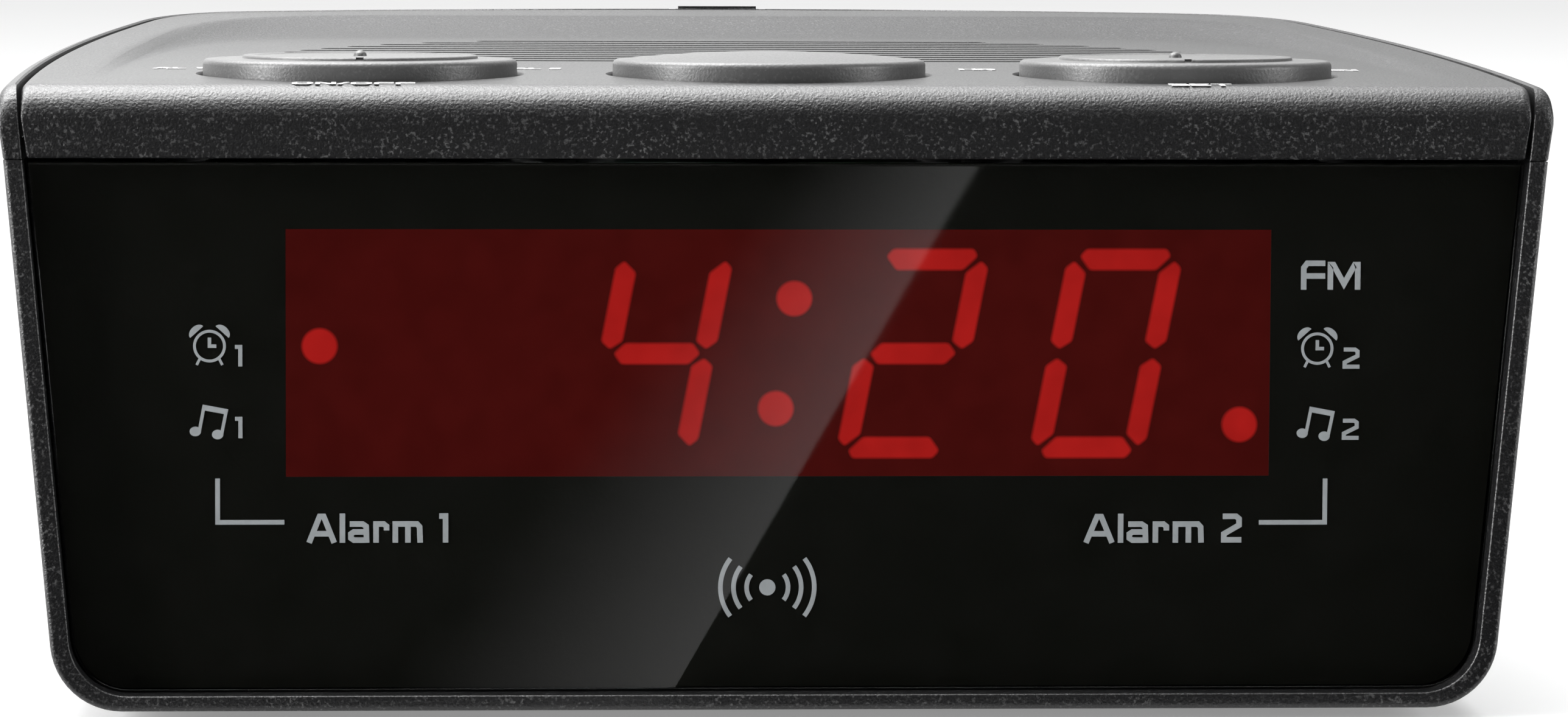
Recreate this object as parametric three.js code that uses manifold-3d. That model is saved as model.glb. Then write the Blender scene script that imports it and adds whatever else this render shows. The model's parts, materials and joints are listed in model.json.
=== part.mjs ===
// Bedside clock radio, in millimetres.
// X runs to the right, Y runs from the front panel to the rear, Z is up.
// The origin is on the table, under the middle of the case.
import * as THREE from 'three';
import { mergeVertices } from 'three/addons/utils/BufferGeometryUtils.js';
import Module from 'manifold-3d';

const wasm = await Module();
wasm.setup();

// ---- driving dimensions ----

const DEPTH = 125;
const FRONT = -DEPTH / 2;
const HALF_WIDTH = 70.7;
const DRAFT_HEIGHT = 57;
const DRAFT = Math.tan(THREE.MathUtils.degToRad(5.2));
const BOTTOM_Z = 1;
const BOTTOM_RADIUS = 6.5;
const SPLIT_Z = 51.3;
const SPLIT_GAP = 0.3;
const DECK_FRONT_Z = 57.9;
const DECK_RISE = 2.4;
const FRONT_EDGE_RADIUS = 3;
const WALL = 2.2;
const RIM = 1.75;
const SEAM = 0.4;
const COVER_INSET = RIM + SEAM;
const COVER_WALL = 2;
const SCOOP_FLOOR_Z = 58.1;
const COVER_UNDERSIDE_Z = 56;

const LENS_RECESS = 0.35;
const LENS_THICKNESS = 2;
const LENS_BOTTOM_Z = 2.84;
const LENS_TOP_Z = 50.95;
const WINDOW_WIDTH = 90.2;
const WINDOW_HEIGHT = 22.6;
const WINDOW_Z = 33.5;

const DIGIT_HEIGHT = 19;
const DIGIT_SLANT = Math.tan(THREE.MathUtils.degToRad(10.9));
const SEGMENT_LENGTH = 8.3;
const SEGMENT_WIDTH = 1.9;
const DIGIT_CENTRES = [-28.6, -11, 12.45, 30.2];
const DOT_RADIUS = 1.6;
const DOTS = [[1.55, 38.35], [-0.1, 28.25], [-41.75, 34], [42.55, 26.75]];

const KEY_PITCH = 38.1;
const KEY_Y = FRONT + 20;
const KEY_RADIUS = 14.6;
const KEY_HOLE_RADIUS = 15;
const KEY_SKIRT_Z = 53.6;
const KEY_TOP_Z = 59.5;
const KEY_WALL = 1.4;
const KEY_LEAN = 0.02;
const PIVOT_Z = 54.4;
const SWITCH_RADIUS = 10;
const SWITCH_CLEARANCE = 0.65;
const SNOOZE_CLEARANCE = 0.9;

const KEY_BOARD_Z = 46.5;
const BOARD_THICKNESS = 1.6;
const BRACKET_Z = 48.4;
const BRACKET_THICKNESS = 1.5;

const SPEAKER_Y = FRONT + 69;
const SPEAKER_Z = 55.7;
const MAIN_BOARD_Z = 16;
const BAY_FRONT_Y = FRONT + 84.5;
const BAY_REAR_Y = FRONT + 107.5;
const BAY_HALF = 25.5;
const BAY_TOP_Z = 14.2;
const FOOT_RADIUS = 5;
const FOOT_SPOTS = [[-46, -48], [46, -48], [-40, 36], [40, 36]];
const CASE_SCREW_SPOTS = [[-53.5, -20], [53.5, -20], [-48.8, 26], [48.8, 26]];
const JACK_X = -38;
const AERIAL_X = 38;
const REAR_PORT_Z = 23.6;

const group = new THREE.Group();

// ---- materials ----

function plastic(colour, roughness = 0.6) {
  return new THREE.MeshStandardMaterial({ color: colour, roughness, metalness: 0 });
}

function metal(colour, roughness = 0.35) {
  return new THREE.MeshStandardMaterial({ color: colour, roughness, metalness: 1 });
}

const BLACK_TEXTURED = plastic(0x1b1b1c, 0.55);
const KEY_BLACK = plastic(0x222223, 0.5);
const LENS_BLACK = plastic(0x0c0d08, 0.06);
const FILTER_RED = plastic(0x390c0a, 0.2);
const DISPLAY_RED = plastic(0xa01a18, 0.4);
const INNER_BLACK = plastic(0x141414, 0.7);
const BOARD_GREEN = plastic(0x1d4a2c, 0.5);
const SWITCH_BLACK = plastic(0x151515, 0.5);
const CONE_BLACK = plastic(0x1a1a1a, 0.8);
const RUBBER = plastic(0x161616, 0.9);
const WIRE_GREY = plastic(0x2a2a2a, 0.5);
const CABLE_GREY = plastic(0x9a9a98, 0.6);
const STEEL = metal(0xb8b8b8);
const SPRING_STEEL = metal(0xc9c9c4, 0.25);
const FERRITE = plastic(0x2b2b2d, 0.7);

// ---- solids ----

function solid(geometry) {
  const bare = geometry.clone();
  bare.deleteAttribute('normal');
  bare.deleteAttribute('uv');
  const merged = mergeVertices(bare);
  const vertProperties = new Float32Array(merged.attributes.position.array);
  const triVerts = new Uint32Array(merged.index.array);
  return new wasm.Manifold(new wasm.Mesh({ numProp: 3, vertProperties, triVerts }));
}

function toGeometry(body) {
  const { vertProperties, triVerts } = body.getMesh();
  const geometry = new THREE.BufferGeometry();
  geometry.setAttribute('position', new THREE.BufferAttribute(vertProperties, 3));
  geometry.setIndex(new THREE.BufferAttribute(triVerts, 1));
  return geometry;
}

function place(name, shape, material) {
  const geometry = shape.isBufferGeometry ? shape : toGeometry(shape);
  geometry.computeVertexNormals();
  const mesh = new THREE.Mesh(geometry, material);
  mesh.name = name;
  group.add(mesh);
}

function join(...bodies) {
  return bodies.reduce((whole, body) => whole.add(body));
}

function cut(body, ...tools) {
  return tools.reduce((rest, tool) => rest.subtract(tool), body);
}

function box(x0, x1, y0, y1, z0, z1) {
  const geometry = new THREE.BoxGeometry(x1 - x0, y1 - y0, z1 - z0);
  geometry.translate((x0 + x1) / 2, (y0 + y1) / 2, (z0 + z1) / 2);
  return solid(geometry);
}

function rod(x, y, z0, z1, radius, segments = 16) {
  const geometry = new THREE.CylinderGeometry(radius, radius, z1 - z0, segments);
  geometry.rotateX(Math.PI / 2);
  geometry.translate(x, y, (z0 + z1) / 2);
  return solid(geometry);
}

function rodAlongY(x, z, y0, y1, radius, segments = 16) {
  const geometry = new THREE.CylinderGeometry(radius, radius, y1 - y0, segments);
  geometry.translate(x, (y0 + y1) / 2, z);
  return solid(geometry);
}

function rodAlongX(y, z, x0, x1, radius, segments = 12) {
  const geometry = new THREE.CylinderGeometry(radius, radius, x1 - x0, segments);
  geometry.rotateZ(Math.PI / 2);
  geometry.translate((x0 + x1) / 2, y, z);
  return solid(geometry);
}

// A solid of revolution about a vertical axis, from [radius, height] pairs that close on themselves.
function turned(profile, x, y, segments = 32) {
  const points = profile.map(([radius, height]) => new THREE.Vector2(radius, height));
  if (profile[0][0] > 0) {
    points.push(points[0].clone());
  }
  const geometry = new THREE.LatheGeometry(points, segments);
  geometry.rotateX(Math.PI / 2);
  geometry.translate(x, y, 0);
  return solid(geometry);
}

// A strip of constant section along X, from [y, z] points.
function alongX(points, x0, x1) {
  const shape = new THREE.Shape(points.map(([y, z]) => new THREE.Vector2(y, z)));
  const geometry = new THREE.ExtrudeGeometry(shape, { depth: x1 - x0, bevelEnabled: false });
  geometry.rotateY(Math.PI / 2);
  geometry.rotateX(Math.PI / 2);
  geometry.translate(x0, 0, 0);
  return solid(geometry);
}

// ---- the case outline ----

// Plan outline: straight front, sides that close in slightly, rounded rear corners, crowned rear.
// The margin extends the outline in front of the case, for the tools that cut it.
function planShape(margin = 0) {
  const shape = new THREE.Shape();
  const cornerX = HALF_WIDTH - 8.2;
  const rearX = HALF_WIDTH - 20.5;
  shape.moveTo(-HALF_WIDTH, FRONT - margin);
  shape.lineTo(HALF_WIDTH, FRONT - margin);
  if (margin > 0) {
    shape.lineTo(HALF_WIDTH, FRONT);
  }
  shape.quadraticCurveTo(HALF_WIDTH, FRONT + 50, cornerX, FRONT + 100);
  shape.quadraticCurveTo(cornerX - 2.4, FRONT + 116.2, rearX, FRONT + 118.7);
  shape.quadraticCurveTo(0, FRONT + 131.3, -rearX, FRONT + 118.7);
  shape.quadraticCurveTo(-cornerX + 2.4, FRONT + 116.2, -cornerX, FRONT + 100);
  shape.quadraticCurveTo(-HALF_WIDTH, FRONT + 50, -HALF_WIDTH, FRONT);
  return shape;
}

// How far the case side stands inside the full outline at a height.
function draftInset(z) {
  return (DRAFT_HEIGHT - z) * DRAFT;
}

// A body with the plan outline, moved in by each level's inset. A level is {z, inset, tilt}:
// a tilted level rises towards the rear with the deck.
function drum(levels, margin = 0) {
  const steps = levels.length - 1;
  const options = { depth: steps, steps, bevelEnabled: false, curveSegments: 4 };
  const geometry = new THREE.ExtrudeGeometry(planShape(margin), options);
  const position = geometry.attributes.position;
  for (let i = 0; i < position.count; i += 1) {
    const level = levels[Math.round(position.getZ(i))];
    const depth = position.getY(i) - FRONT;
    const x = position.getX(i) * (1 - level.inset / HALF_WIDTH);
    const y = FRONT + depth * (1 - level.inset / DEPTH);
    const rise = level.tilt ? DECK_RISE * (depth / DEPTH) : 0;
    position.setXYZ(i, x, y, level.z + rise);
  }
  return solid(geometry);
}

// Levels of a rounded bottom edge, then the drafted side up to topZ.
function tubLevels(inset, bottomZ, radius, topZ) {
  const lean = Math.atan(DRAFT);
  const centreZ = bottomZ + radius;
  const centreInset = inset + draftInset(centreZ) + radius / Math.cos(lean);
  const levels = [];
  const steps = 4;
  for (let i = 0; i <= steps; i += 1) {
    const angle = -Math.PI / 2 + (Math.PI / 2 - lean) * (i / steps);
    const z = centreZ + radius * Math.sin(angle);
    levels.push({ z, inset: centreInset - radius * Math.cos(angle) });
  }
  levels.push({ z: topZ, inset: inset + draftInset(topZ) });
  return levels;
}

// Levels of a drafted side that ends in a rounded edge on the tilted deck.
function capLevels(inset, bottomZ, radius) {
  const levels = [{ z: bottomZ, inset: inset + draftInset(bottomZ) }];
  const steps = 3;
  for (let i = 0; i <= steps; i += 1) {
    const angle = (Math.PI / 2) * (i / steps);
    const z = DECK_FRONT_Z - radius + radius * Math.sin(angle);
    const roundInset = radius - radius * Math.cos(angle);
    levels.push({ z, inset: inset + draftInset(z) + roundInset, tilt: true });
  }
  return levels;
}

function straightLevels(inset, bottomZ, topZ) {
  return [bottomZ, topZ].map((z) => ({ z, inset: inset + draftInset(z) }));
}

// Side view of the deck: an upright front, a rounded front edge and the tilted top.
function deckProfile(bottomZ, frontY, drop) {
  const radius = FRONT_EDGE_RADIUS;
  const points = [[frontY, bottomZ]];
  const steps = 5;
  for (let i = 0; i <= steps; i += 1) {
    const angle = Math.PI - (Math.PI / 2) * (i / steps);
    const y = frontY + radius + radius * Math.cos(angle);
    points.push([y, DECK_FRONT_Z - drop - radius + radius * Math.sin(angle)]);
  }
  const rearY = FRONT + DEPTH + 5;
  points.push([rearY, DECK_FRONT_Z - drop + DECK_RISE * ((rearY - FRONT) / DEPTH)]);
  points.push([rearY, bottomZ]);
  return alongX(points, -HALF_WIDTH - 5, HALF_WIDTH + 5);
}

// ---- lower cabinet ----

function screwTower(x, y) {
  return rod(x, y, 2.5, 30, 3.6, 16);
}

function screwWell(x, y) {
  return join(rod(x, y, 0, 26, 3.2, 12), rod(x, y, 25, 31, 1.7, 12));
}

// The battery bay's walls, its roof and the rails that hold the door.
function bayHousing() {
  const shell = box(-BAY_HALF - 1.5, BAY_HALF + 1.5, BAY_FRONT_Y - 1.5, BAY_REAR_Y + 1.5, 2, BAY_TOP_Z + 1.2);
  const seat = box(-BAY_HALF - 4, BAY_HALF + 4, BAY_FRONT_Y - 4, BAY_REAR_Y + 3, 2, 5);
  return join(shell, seat);
}

function lowerCabinet() {
  const top = SPLIT_Z - SPLIT_GAP / 2;
  const outside = drum(tubLevels(0, BOTTOM_Z, BOTTOM_RADIUS, top));
  const cavity = drum(tubLevels(WALL, BOTTOM_Z + WALL, 5, top + 2), 4);
  const pocket = drum(tubLevels(RIM, LENS_BOTTOM_Z - SEAM, 5.4, top + 2), 4);
  const frontSlab = box(-80, 80, FRONT - 5, FRONT + 5, 0, 60);
  let body = cut(outside, cavity, pocket.intersect(frontSlab));
  const inside = drum(tubLevels(0.5, BOTTOM_Z + 0.5, BOTTOM_RADIUS, top - 1));
  const towers = CASE_SCREW_SPOTS.map(([x, y]) => screwTower(x, y));
  const posts = MAIN_SCREW_SPOTS.map(([x, y]) => rod(x, y, 2.5, MAIN_BOARD_Z - 0.3, 3, 12));
  const fittings = join(...towers, ...posts, bayHousing()).intersect(inside);
  body = body.add(fittings);
  const wells = CASE_SCREW_SPOTS.map(([x, y]) => screwWell(x, y));
  const postHoles = MAIN_SCREW_SPOTS.map(([x, y]) => rod(x, y, 6, MAIN_BOARD_Z, 1.3, 12));
  const footSeats = FOOT_SPOTS.map(([x, y]) => rod(x, y, 0, 2.3, FOOT_RADIUS + 0.3, 20));
  const bay = box(-BAY_HALF, BAY_HALF, BAY_FRONT_Y, BAY_REAR_Y, 0, BAY_TOP_Z);
  const doorSeat = box(-BAY_HALF - 1.8, BAY_HALF + 1.8, BAY_FRONT_Y - 1.8, FRONT + DEPTH, 0, DOOR_TOP_Z + 0.3);
  const jackPort = rodAlongY(JACK_X, REAR_PORT_Z, 45, 70, 4.5, 24);
  const aerialPort = rodAlongY(AERIAL_X, REAR_PORT_Z, 45, 70, 3.2, 20);
  return cut(body, ...wells, ...postHoles, ...footSeats, bay, doorSeat, jackPort, aerialPort);
}

const DOOR_TOP_Z = 2.8;
const MAIN_SCREW_SPOTS = [[-44, -46], [44, -46], [44, 12]];

// ---- upper frame and its snap tab ----

function upperFrame() {
  const bottom = SPLIT_Z + SPLIT_GAP / 2;
  const outside = drum(capLevels(0, bottom, 1.7)).intersect(deckProfile(bottom - 1, FRONT, -0.02));
  const coverPocket = drum(straightLevels(RIM, 53.1, 66), 4);
  const browSlot = drum(straightLevels(RIM, bottom - 1, 54), 4)
    .intersect(box(-80, 80, FRONT - 5, FRONT + 2.7, 40, 60));
  const ledgeHole = drum(straightLevels(5.5, bottom - 1, 54)).intersect(box(-80, 80, FRONT + 5, 80, 40, 60));
  const rearZ = DECK_FRONT_Z + DECK_RISE;
  const tabY = FRONT + DEPTH - RIM;
  const tab = box(-4.2, 4.2, tabY + 0.2, tabY + 1.35, rearZ - 3, rearZ + 0.25);
  const notches = [-5.2, 4.5].map((x) => box(x, x + 0.7, tabY - 0.5, tabY + 3, rearZ - 1, rearZ + 1));
  return join(cut(outside, coverPocket, browSlot, ledgeHole, ...notches), tab);
}

// ---- top cover with scoop, key holes and grille ----

// Outline of the scoop's floor, in plan.
function scoopShape() {
  const shape = new THREE.Shape();
  const frontY = FRONT + 5;
  shape.moveTo(-62.5, frontY);
  shape.lineTo(62.5, frontY);
  shape.quadraticCurveTo(62.3, FRONT + 45, 54, FRONT + 86);
  shape.quadraticCurveTo(52, FRONT + 95.8, 42, FRONT + 96.6);
  shape.quadraticCurveTo(0, FRONT + 100, -42, FRONT + 96.6);
  shape.quadraticCurveTo(-52, FRONT + 95.8, -54, FRONT + 86);
  shape.quadraticCurveTo(-62.3, FRONT + 45, -62.5, frontY);
  return shape;
}

// The scoop's walls lean outwards: gently at the sides and far more at the rear.
function scoop() {
  const height = 4;
  const options = { depth: height, steps: 1, bevelEnabled: false, curveSegments: 4 };
  const geometry = new THREE.ExtrudeGeometry(scoopShape(), options);
  const position = geometry.attributes.position;
  for (let i = 0; i < position.count; i += 1) {
    const z = position.getZ(i);
    const y = FRONT + (position.getY(i) - FRONT) * (1 + 0.064 * z);
    position.setXYZ(i, position.getX(i) * (1 + 0.042 * z), y, SCOOP_FLOOR_Z + z);
  }
  return solid(geometry);
}

const GRILLE_SLOTS = 11;
const GRILLE_PITCH = 4.4;
const GRILLE_START = FRONT + 47;
const GRILLE_SLOT_WIDTH = 1.5;

function grilleSlot(index) {
  const y = GRILLE_START + index * GRILLE_PITCH;
  const along = (y - GRILLE_START - 4) / 48;
  const half = 47.8 * Math.sqrt(1 - along * along);
  return box(-half, half, y - GRILLE_SLOT_WIDTH / 2, y + GRILLE_SLOT_WIDTH / 2, 50, 64);
}

const KEY_XS = [-KEY_PITCH, 0, KEY_PITCH];
const BRACKET_SCREW_XS = [-57, -19, 19, 57];
const BRACKET_SCREW_Y = KEY_Y;
const SPEAKER_SCREW_RADIUS = 28;
const SPEAKER_SCREW_ANGLES = [90, 210, 330];

function speakerScrewSpot(degrees) {
  const angle = THREE.MathUtils.degToRad(degrees);
  const x = SPEAKER_SCREW_RADIUS * Math.cos(angle);
  return [x, SPEAKER_Y + SPEAKER_SCREW_RADIUS * Math.sin(angle)];
}

function topCover() {
  const bottom = 53.4;
  const browBottom = LENS_TOP_Z + SEAM;
  const rounded = drum(capLevels(COVER_INSET, browBottom, 0.8));
  let body = rounded.intersect(deckProfile(browBottom, FRONT, -0.02));
  const cavity = drum(straightLevels(COVER_INSET + COVER_WALL, 40, COVER_UNDERSIDE_Z))
    .intersect(box(-80, 80, FRONT + COVER_WALL, 80, 30, COVER_UNDERSIDE_Z));
  const skirtTrim = drum(straightLevels(0, 40, bottom)).intersect(box(-80, 80, FRONT + COVER_WALL, 80, 30, bottom));
  body = cut(body, cavity, skirtTrim, scoop());
  const bossTop = COVER_UNDERSIDE_Z + 0.5;
  const bracketTop = BRACKET_Z + BRACKET_THICKNESS + 0.3;
  const keyBosses = BRACKET_SCREW_XS.map((x) => rod(x, BRACKET_SCREW_Y, bracketTop, bossTop, 2.2, 12));
  const caseBosses = CASE_SCREW_SPOTS.map(([x, y]) => rod(x, y, 30.4, bossTop, 2.8, 12));
  const flangeBottom = SPEAKER_Z - 1.5;
  const speakerBosses = SPEAKER_SCREW_ANGLES.map((degrees) => {
    const [x, y] = speakerScrewSpot(degrees);
    return rod(x, y, flangeBottom, bossTop, 1.9, 10);
  });
  body = join(body, ...keyBosses, ...caseBosses, ...speakerBosses);
  const holes = [
    ...KEY_XS.map((x) => rod(x, KEY_Y, 50, 62, KEY_HOLE_RADIUS, 32)),
    ...BRACKET_SCREW_XS.map((x) => rod(x, BRACKET_SCREW_Y, bracketTop - 1, 55.5, 1.3, 12)),
    ...CASE_SCREW_SPOTS.map(([x, y]) => rod(x, y, 30, 42, 1.7, 12)),
    ...SPEAKER_SCREW_ANGLES.map((degrees) => {
      const [x, y] = speakerScrewSpot(degrees);
      return rod(x, y, flangeBottom - 1, 55.5, 1.1, 10);
    }),
  ];
  const slots = Array.from({ length: GRILLE_SLOTS }, (unused, index) => grilleSlot(index));
  return cut(body, ...holes, ...slots);
}

// ---- front lens, carrier and display ----

function frontLens() {
  const sheet = drum(tubLevels(COVER_INSET, LENS_BOTTOM_Z, 5, LENS_TOP_Z));
  const slab = box(-80, 80, FRONT + LENS_RECESS, FRONT + LENS_RECESS + LENS_THICKNESS, 0, 60);
  return sheet.intersect(slab);
}

const LENS_BACK_Y = FRONT + LENS_RECESS + LENS_THICKNESS;
const CARRIER_Y = LENS_BACK_Y + 0.3;
const CARRIER_THICKNESS = 2;

function lensCarrier() {
  const sheet = drum(tubLevels(WALL + 0.4, 4, 4, LENS_TOP_Z - 0.4));
  const slab = box(-80, 80, CARRIER_Y, CARRIER_Y + CARRIER_THICKNESS, 0, 60);
  const halfWidth = WINDOW_WIDTH / 2 + 0.3;
  const halfHeight = WINDOW_HEIGHT / 2 + 0.3;
  const [z0, z1] = [WINDOW_Z - halfHeight, WINDOW_Z + halfHeight];
  const window = box(-halfWidth, halfWidth, CARRIER_Y - 1, CARRIER_Y + 3, z0, z1);
  return cut(sheet.intersect(slab), window);
}

function windowFilter() {
  const [z0, z1] = [WINDOW_Z - WINDOW_HEIGHT / 2, WINDOW_Z + WINDOW_HEIGHT / 2];
  return box(-WINDOW_WIDTH / 2, WINDOW_WIDTH / 2, CARRIER_Y, CARRIER_Y + 0.8, z0, z1);
}

const DISPLAY_Y = CARRIER_Y + 1.6;
const DISPLAY_DEPTH = 6;

// One bar with pointed ends, lying on the display's face and slanted with its digit.
function segment(centreX, x, z, upright) {
  const half = SEGMENT_LENGTH / 2;
  const tip = SEGMENT_WIDTH / 2;
  const outline = [[-half, 0], [-half + tip, -tip], [half - tip, -tip], [half, 0], [half - tip, tip], [-half + tip, tip]];
  const points = outline.map(([along, across]) => {
    const dx = upright ? -across : along;
    const dz = upright ? along : across;
    return new THREE.Vector2(centreX + x + dx + (z + dz) * DIGIT_SLANT, WINDOW_Z + z + dz);
  });
  const options = { depth: 0.5, bevelEnabled: false };
  const geometry = new THREE.ExtrudeGeometry(new THREE.Shape(points), options);
  geometry.rotateX(Math.PI / 2);
  geometry.translate(0, DISPLAY_Y + 0.3, 0);
  return solid(geometry);
}

function digit(centreX) {
  const reach = (DIGIT_HEIGHT - SEGMENT_WIDTH) / 2;
  const halfReach = reach / 2;
  const side = SEGMENT_LENGTH / 2 + 0.25;
  const flats = [-reach, 0, reach].map((z) => segment(centreX, 0, z, false));
  const uprights = [-side, side].flatMap((x) => [-halfReach, halfReach].map((z) => segment(centreX, x, z, true)));
  return join(...flats, ...uprights);
}

function ledDisplay() {
  const halfWidth = WINDOW_WIDTH / 2 + 0.1;
  const halfHeight = WINDOW_HEIGHT / 2 + 0.1;
  const [z0, z1] = [WINDOW_Z - halfHeight, WINDOW_Z + halfHeight];
  const block = box(-halfWidth, halfWidth, DISPLAY_Y, DISPLAY_Y + DISPLAY_DEPTH, z0, z1);
  const dots = DOTS.map(([x, z]) => rodAlongY(x, z, DISPLAY_Y - 0.2, DISPLAY_Y + 0.3, DOT_RADIUS, 16));
  return join(block, ...DIGIT_CENTRES.map(digit), ...dots);
}

const DISPLAY_BOARD_Y = DISPLAY_Y + DISPLAY_DEPTH + 0.3;

// ---- keys ----

function switchSpots(keyX) {
  const r = SWITCH_RADIUS;
  return [[keyX - r, KEY_Y], [keyX + r, KEY_Y], [keyX, KEY_Y - r], [keyX, KEY_Y + r]];
}

const SWITCH_NAMES = ['left', 'right', 'front', 'rear'];
const SWITCH_HALF = 3;
const SWITCH_BODY_TOP = KEY_BOARD_Z + BOARD_THICKNESS + 0.3 + 3.4;
const SWITCH_STEM_TOP = SWITCH_BODY_TOP + 1;

function tactSwitch(x, y) {
  const bottom = KEY_BOARD_Z + BOARD_THICKNESS + 0.3;
  const body = box(x - SWITCH_HALF, x + SWITCH_HALF, y - SWITCH_HALF, y + SWITCH_HALF, bottom, SWITCH_BODY_TOP);
  return body.add(rod(x, y, SWITCH_BODY_TOP - 0.5, SWITCH_STEM_TOP, 1.75, 12));
}

// Cap shared by the keys: a hollow cup with a rounded top edge.
function keyCup(x, crown) {
  const r = KEY_RADIUS;
  const innerTop = KEY_TOP_Z - 1.5;
  const profile = [
    [0, innerTop], [r - KEY_WALL, innerTop], [r - KEY_WALL, KEY_SKIRT_Z], [r, KEY_SKIRT_Z],
    [r, KEY_TOP_Z - 0.6], [r - 0.2, KEY_TOP_Z - 0.15], [r - 0.7, KEY_TOP_Z], ...crown,
  ];
  return turned(profile, x, KEY_Y, 32);
}

// Lets a key's top fall a little towards the rear, while its skirt and underside stay put.
function leaned(key) {
  const start = KEY_TOP_Z - 1.4;
  return key.warp((vertex) => {
    const share = Math.min(Math.max((vertex[2] - start) / (KEY_TOP_Z - start), 0), 1);
    vertex[2] += share * KEY_LEAN * (KEY_Y - vertex[1]);
  });
}

function tiltKey(x) {
  const disc = 10.7;
  const discTop = KEY_TOP_Z + 0.4;
  const dome = [[0.7, discTop], [0.55, discTop + 0.3], [0, discTop + 0.45]];
  const crown = [[disc, KEY_TOP_Z], [disc - 0.3, discTop], ...dome];
  const cup = keyCup(x, crown);
  const underside = KEY_TOP_Z - 1.2;
  const feet = switchSpots(x).map(([fx, fy]) => rod(fx, fy, SWITCH_STEM_TOP + SWITCH_CLEARANCE, underside, 1.5, 12));
  const lugs = [-1, 1].map((side) => {
    const inner = KEY_Y + side * 4.2;
    const outer = KEY_Y + side * 6.2;
    return box(x - 2.2, x + 2.2, Math.min(inner, outer), Math.max(inner, outer), PIVOT_Z - 2.2, underside);
  });
  const pinHole = rodAlongY(x, PIVOT_Z, KEY_Y - 7, KEY_Y + 7, 1.25, 12);
  return leaned(join(cut(join(cup, ...lugs), pinHole), ...feet));
}

// Cross-shaped pivot that lets the key tip about X and rock about Y.
function keyPivot(x) {
  const hub = box(x - 3, x + 3, KEY_Y - 3, KEY_Y + 3, PIVOT_Z - 1.4, PIVOT_Z + 1.4);
  const across = rodAlongX(KEY_Y, PIVOT_Z, x - 6, x + 6, 0.9);
  const along = rodAlongY(x, PIVOT_Z, KEY_Y - 6, KEY_Y + 6, 0.9, 12);
  return join(hub, across, along);
}

function snoozeKey() {
  const crownRise = 0.75;
  const steps = 4;
  const crown = [];
  for (let i = 0; i <= steps; i += 1) {
    const r = 11 * (1 - i / steps);
    crown.push([r, KEY_TOP_Z + crownRise * (1 - (r / 12.6) ** 2)]);
  }
  const cup = keyCup(0, crown);
  const foot = rod(0, KEY_Y, SWITCH_STEM_TOP + SNOOZE_CLEARANCE, KEY_TOP_Z - 1, 2, 16);
  return leaned(cup.add(foot));
}

// Plate over the key board: openings for the switches and ears for the pivots.
function keyBracket() {
  const top = BRACKET_Z + BRACKET_THICKNESS;
  const plate = box(-62, 62, KEY_Y - 15, KEY_Y + 15, BRACKET_Z, top);
  const ears = [-KEY_PITCH, KEY_PITCH].flatMap((x) => [-1, 1].map((side) => {
    const edges = [x + side * 4.2, x + side * 6.2].sort((a, b) => a - b);
    return box(edges[0], edges[1], KEY_Y - 2, KEY_Y + 2, top - 0.5, PIVOT_Z + 1.9);
  }));
  const pinHoles = [-KEY_PITCH, KEY_PITCH].map((x) => rodAlongX(KEY_Y, PIVOT_Z, x - 7, x + 7, 1.25));
  const spots = [...switchSpots(-KEY_PITCH), ...switchSpots(KEY_PITCH), [0, KEY_Y]];
  const half = SWITCH_HALF + 0.35;
  const openings = spots.map(([x, y]) => box(x - half, x + half, y - half, y + half, 40, top + 1));
  const screwHoles = BRACKET_SCREW_XS.map((x) => rod(x, BRACKET_SCREW_Y, 40, 52, 1.4, 12));
  return cut(join(plate, ...ears), ...pinHoles, ...openings, ...screwHoles);
}

function keyBoard() {
  const board = box(-62, 62, KEY_Y - 15, KEY_Y + 15, KEY_BOARD_Z, KEY_BOARD_Z + BOARD_THICKNESS);
  return cut(board, ...BRACKET_SCREW_XS.map((x) => rod(x, BRACKET_SCREW_Y, 40, 52, 1.4, 12)));
}

// ---- speaker ----

function speakerBasket() {
  const z = SPEAKER_Z;
  const frame = turned([
    [22.4, z], [22.4, z - 1.5], [14.6, z - 10.5], [4, z - 10.5], [4, z - 11.7],
    [15.2, z - 11.7], [23.2, z - 2.6], [24.2, z - 1.5], [25.5, z - 1.5], [25.5, z],
  ], 0, SPEAKER_Y, 28);
  const cups = [45, 135, 225, 315].map((degrees) => {
    const angle = THREE.MathUtils.degToRad(degrees);
    const [x, y] = [18.6 * Math.cos(angle), SPEAKER_Y + 18.6 * Math.sin(angle)];
    return box(x - 3, x + 3, y - 3, y + 3, z - 9.5, z - 4.5);
  });
  return cut(frame, ...cups);
}

function speakerCone() {
  const z = SPEAKER_Z;
  return turned([
    [0, z - 9.4], [2.9, z - 9.4], [2.9, z - 12.2], [3.4, z - 12.2], [3.4, z - 10],
    [6, z - 10], [13.8, z - 6.9], [19.8, z - 1.6], [22, z - 1.5], [22, z - 1],
    [20.8, z - 0.6], [19.6, z - 0.9], [5.2, z - 7.8], [2.5, z - 6.2], [0, z - 5.8],
  ], 0, SPEAKER_Y, 24);
}

function speakerMagnet() {
  const top = SPEAKER_Z - 12.5;
  return rod(0, SPEAKER_Y, top - 8, top, 13.5, 32);
}

// ---- fasteners, contacts and small parts ----

// A slotted pan-head screw standing upright, head down.
function screw(x, y, headZ, length, shank, head) {
  const profile = [
    [0, headZ], [head * 0.8, headZ], [head, headZ + 0.7], [head, headZ + 1.6],
    [shank, headZ + 1.6], [shank, headZ + length - 1], [0, headZ + length],
  ];
  const body = turned(profile, x, y, 10);
  return cut(body, box(x - head * 1.1, x + head * 1.1, y - 0.35, y + 0.35, headZ - 1, headZ + 0.6));
}

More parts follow.
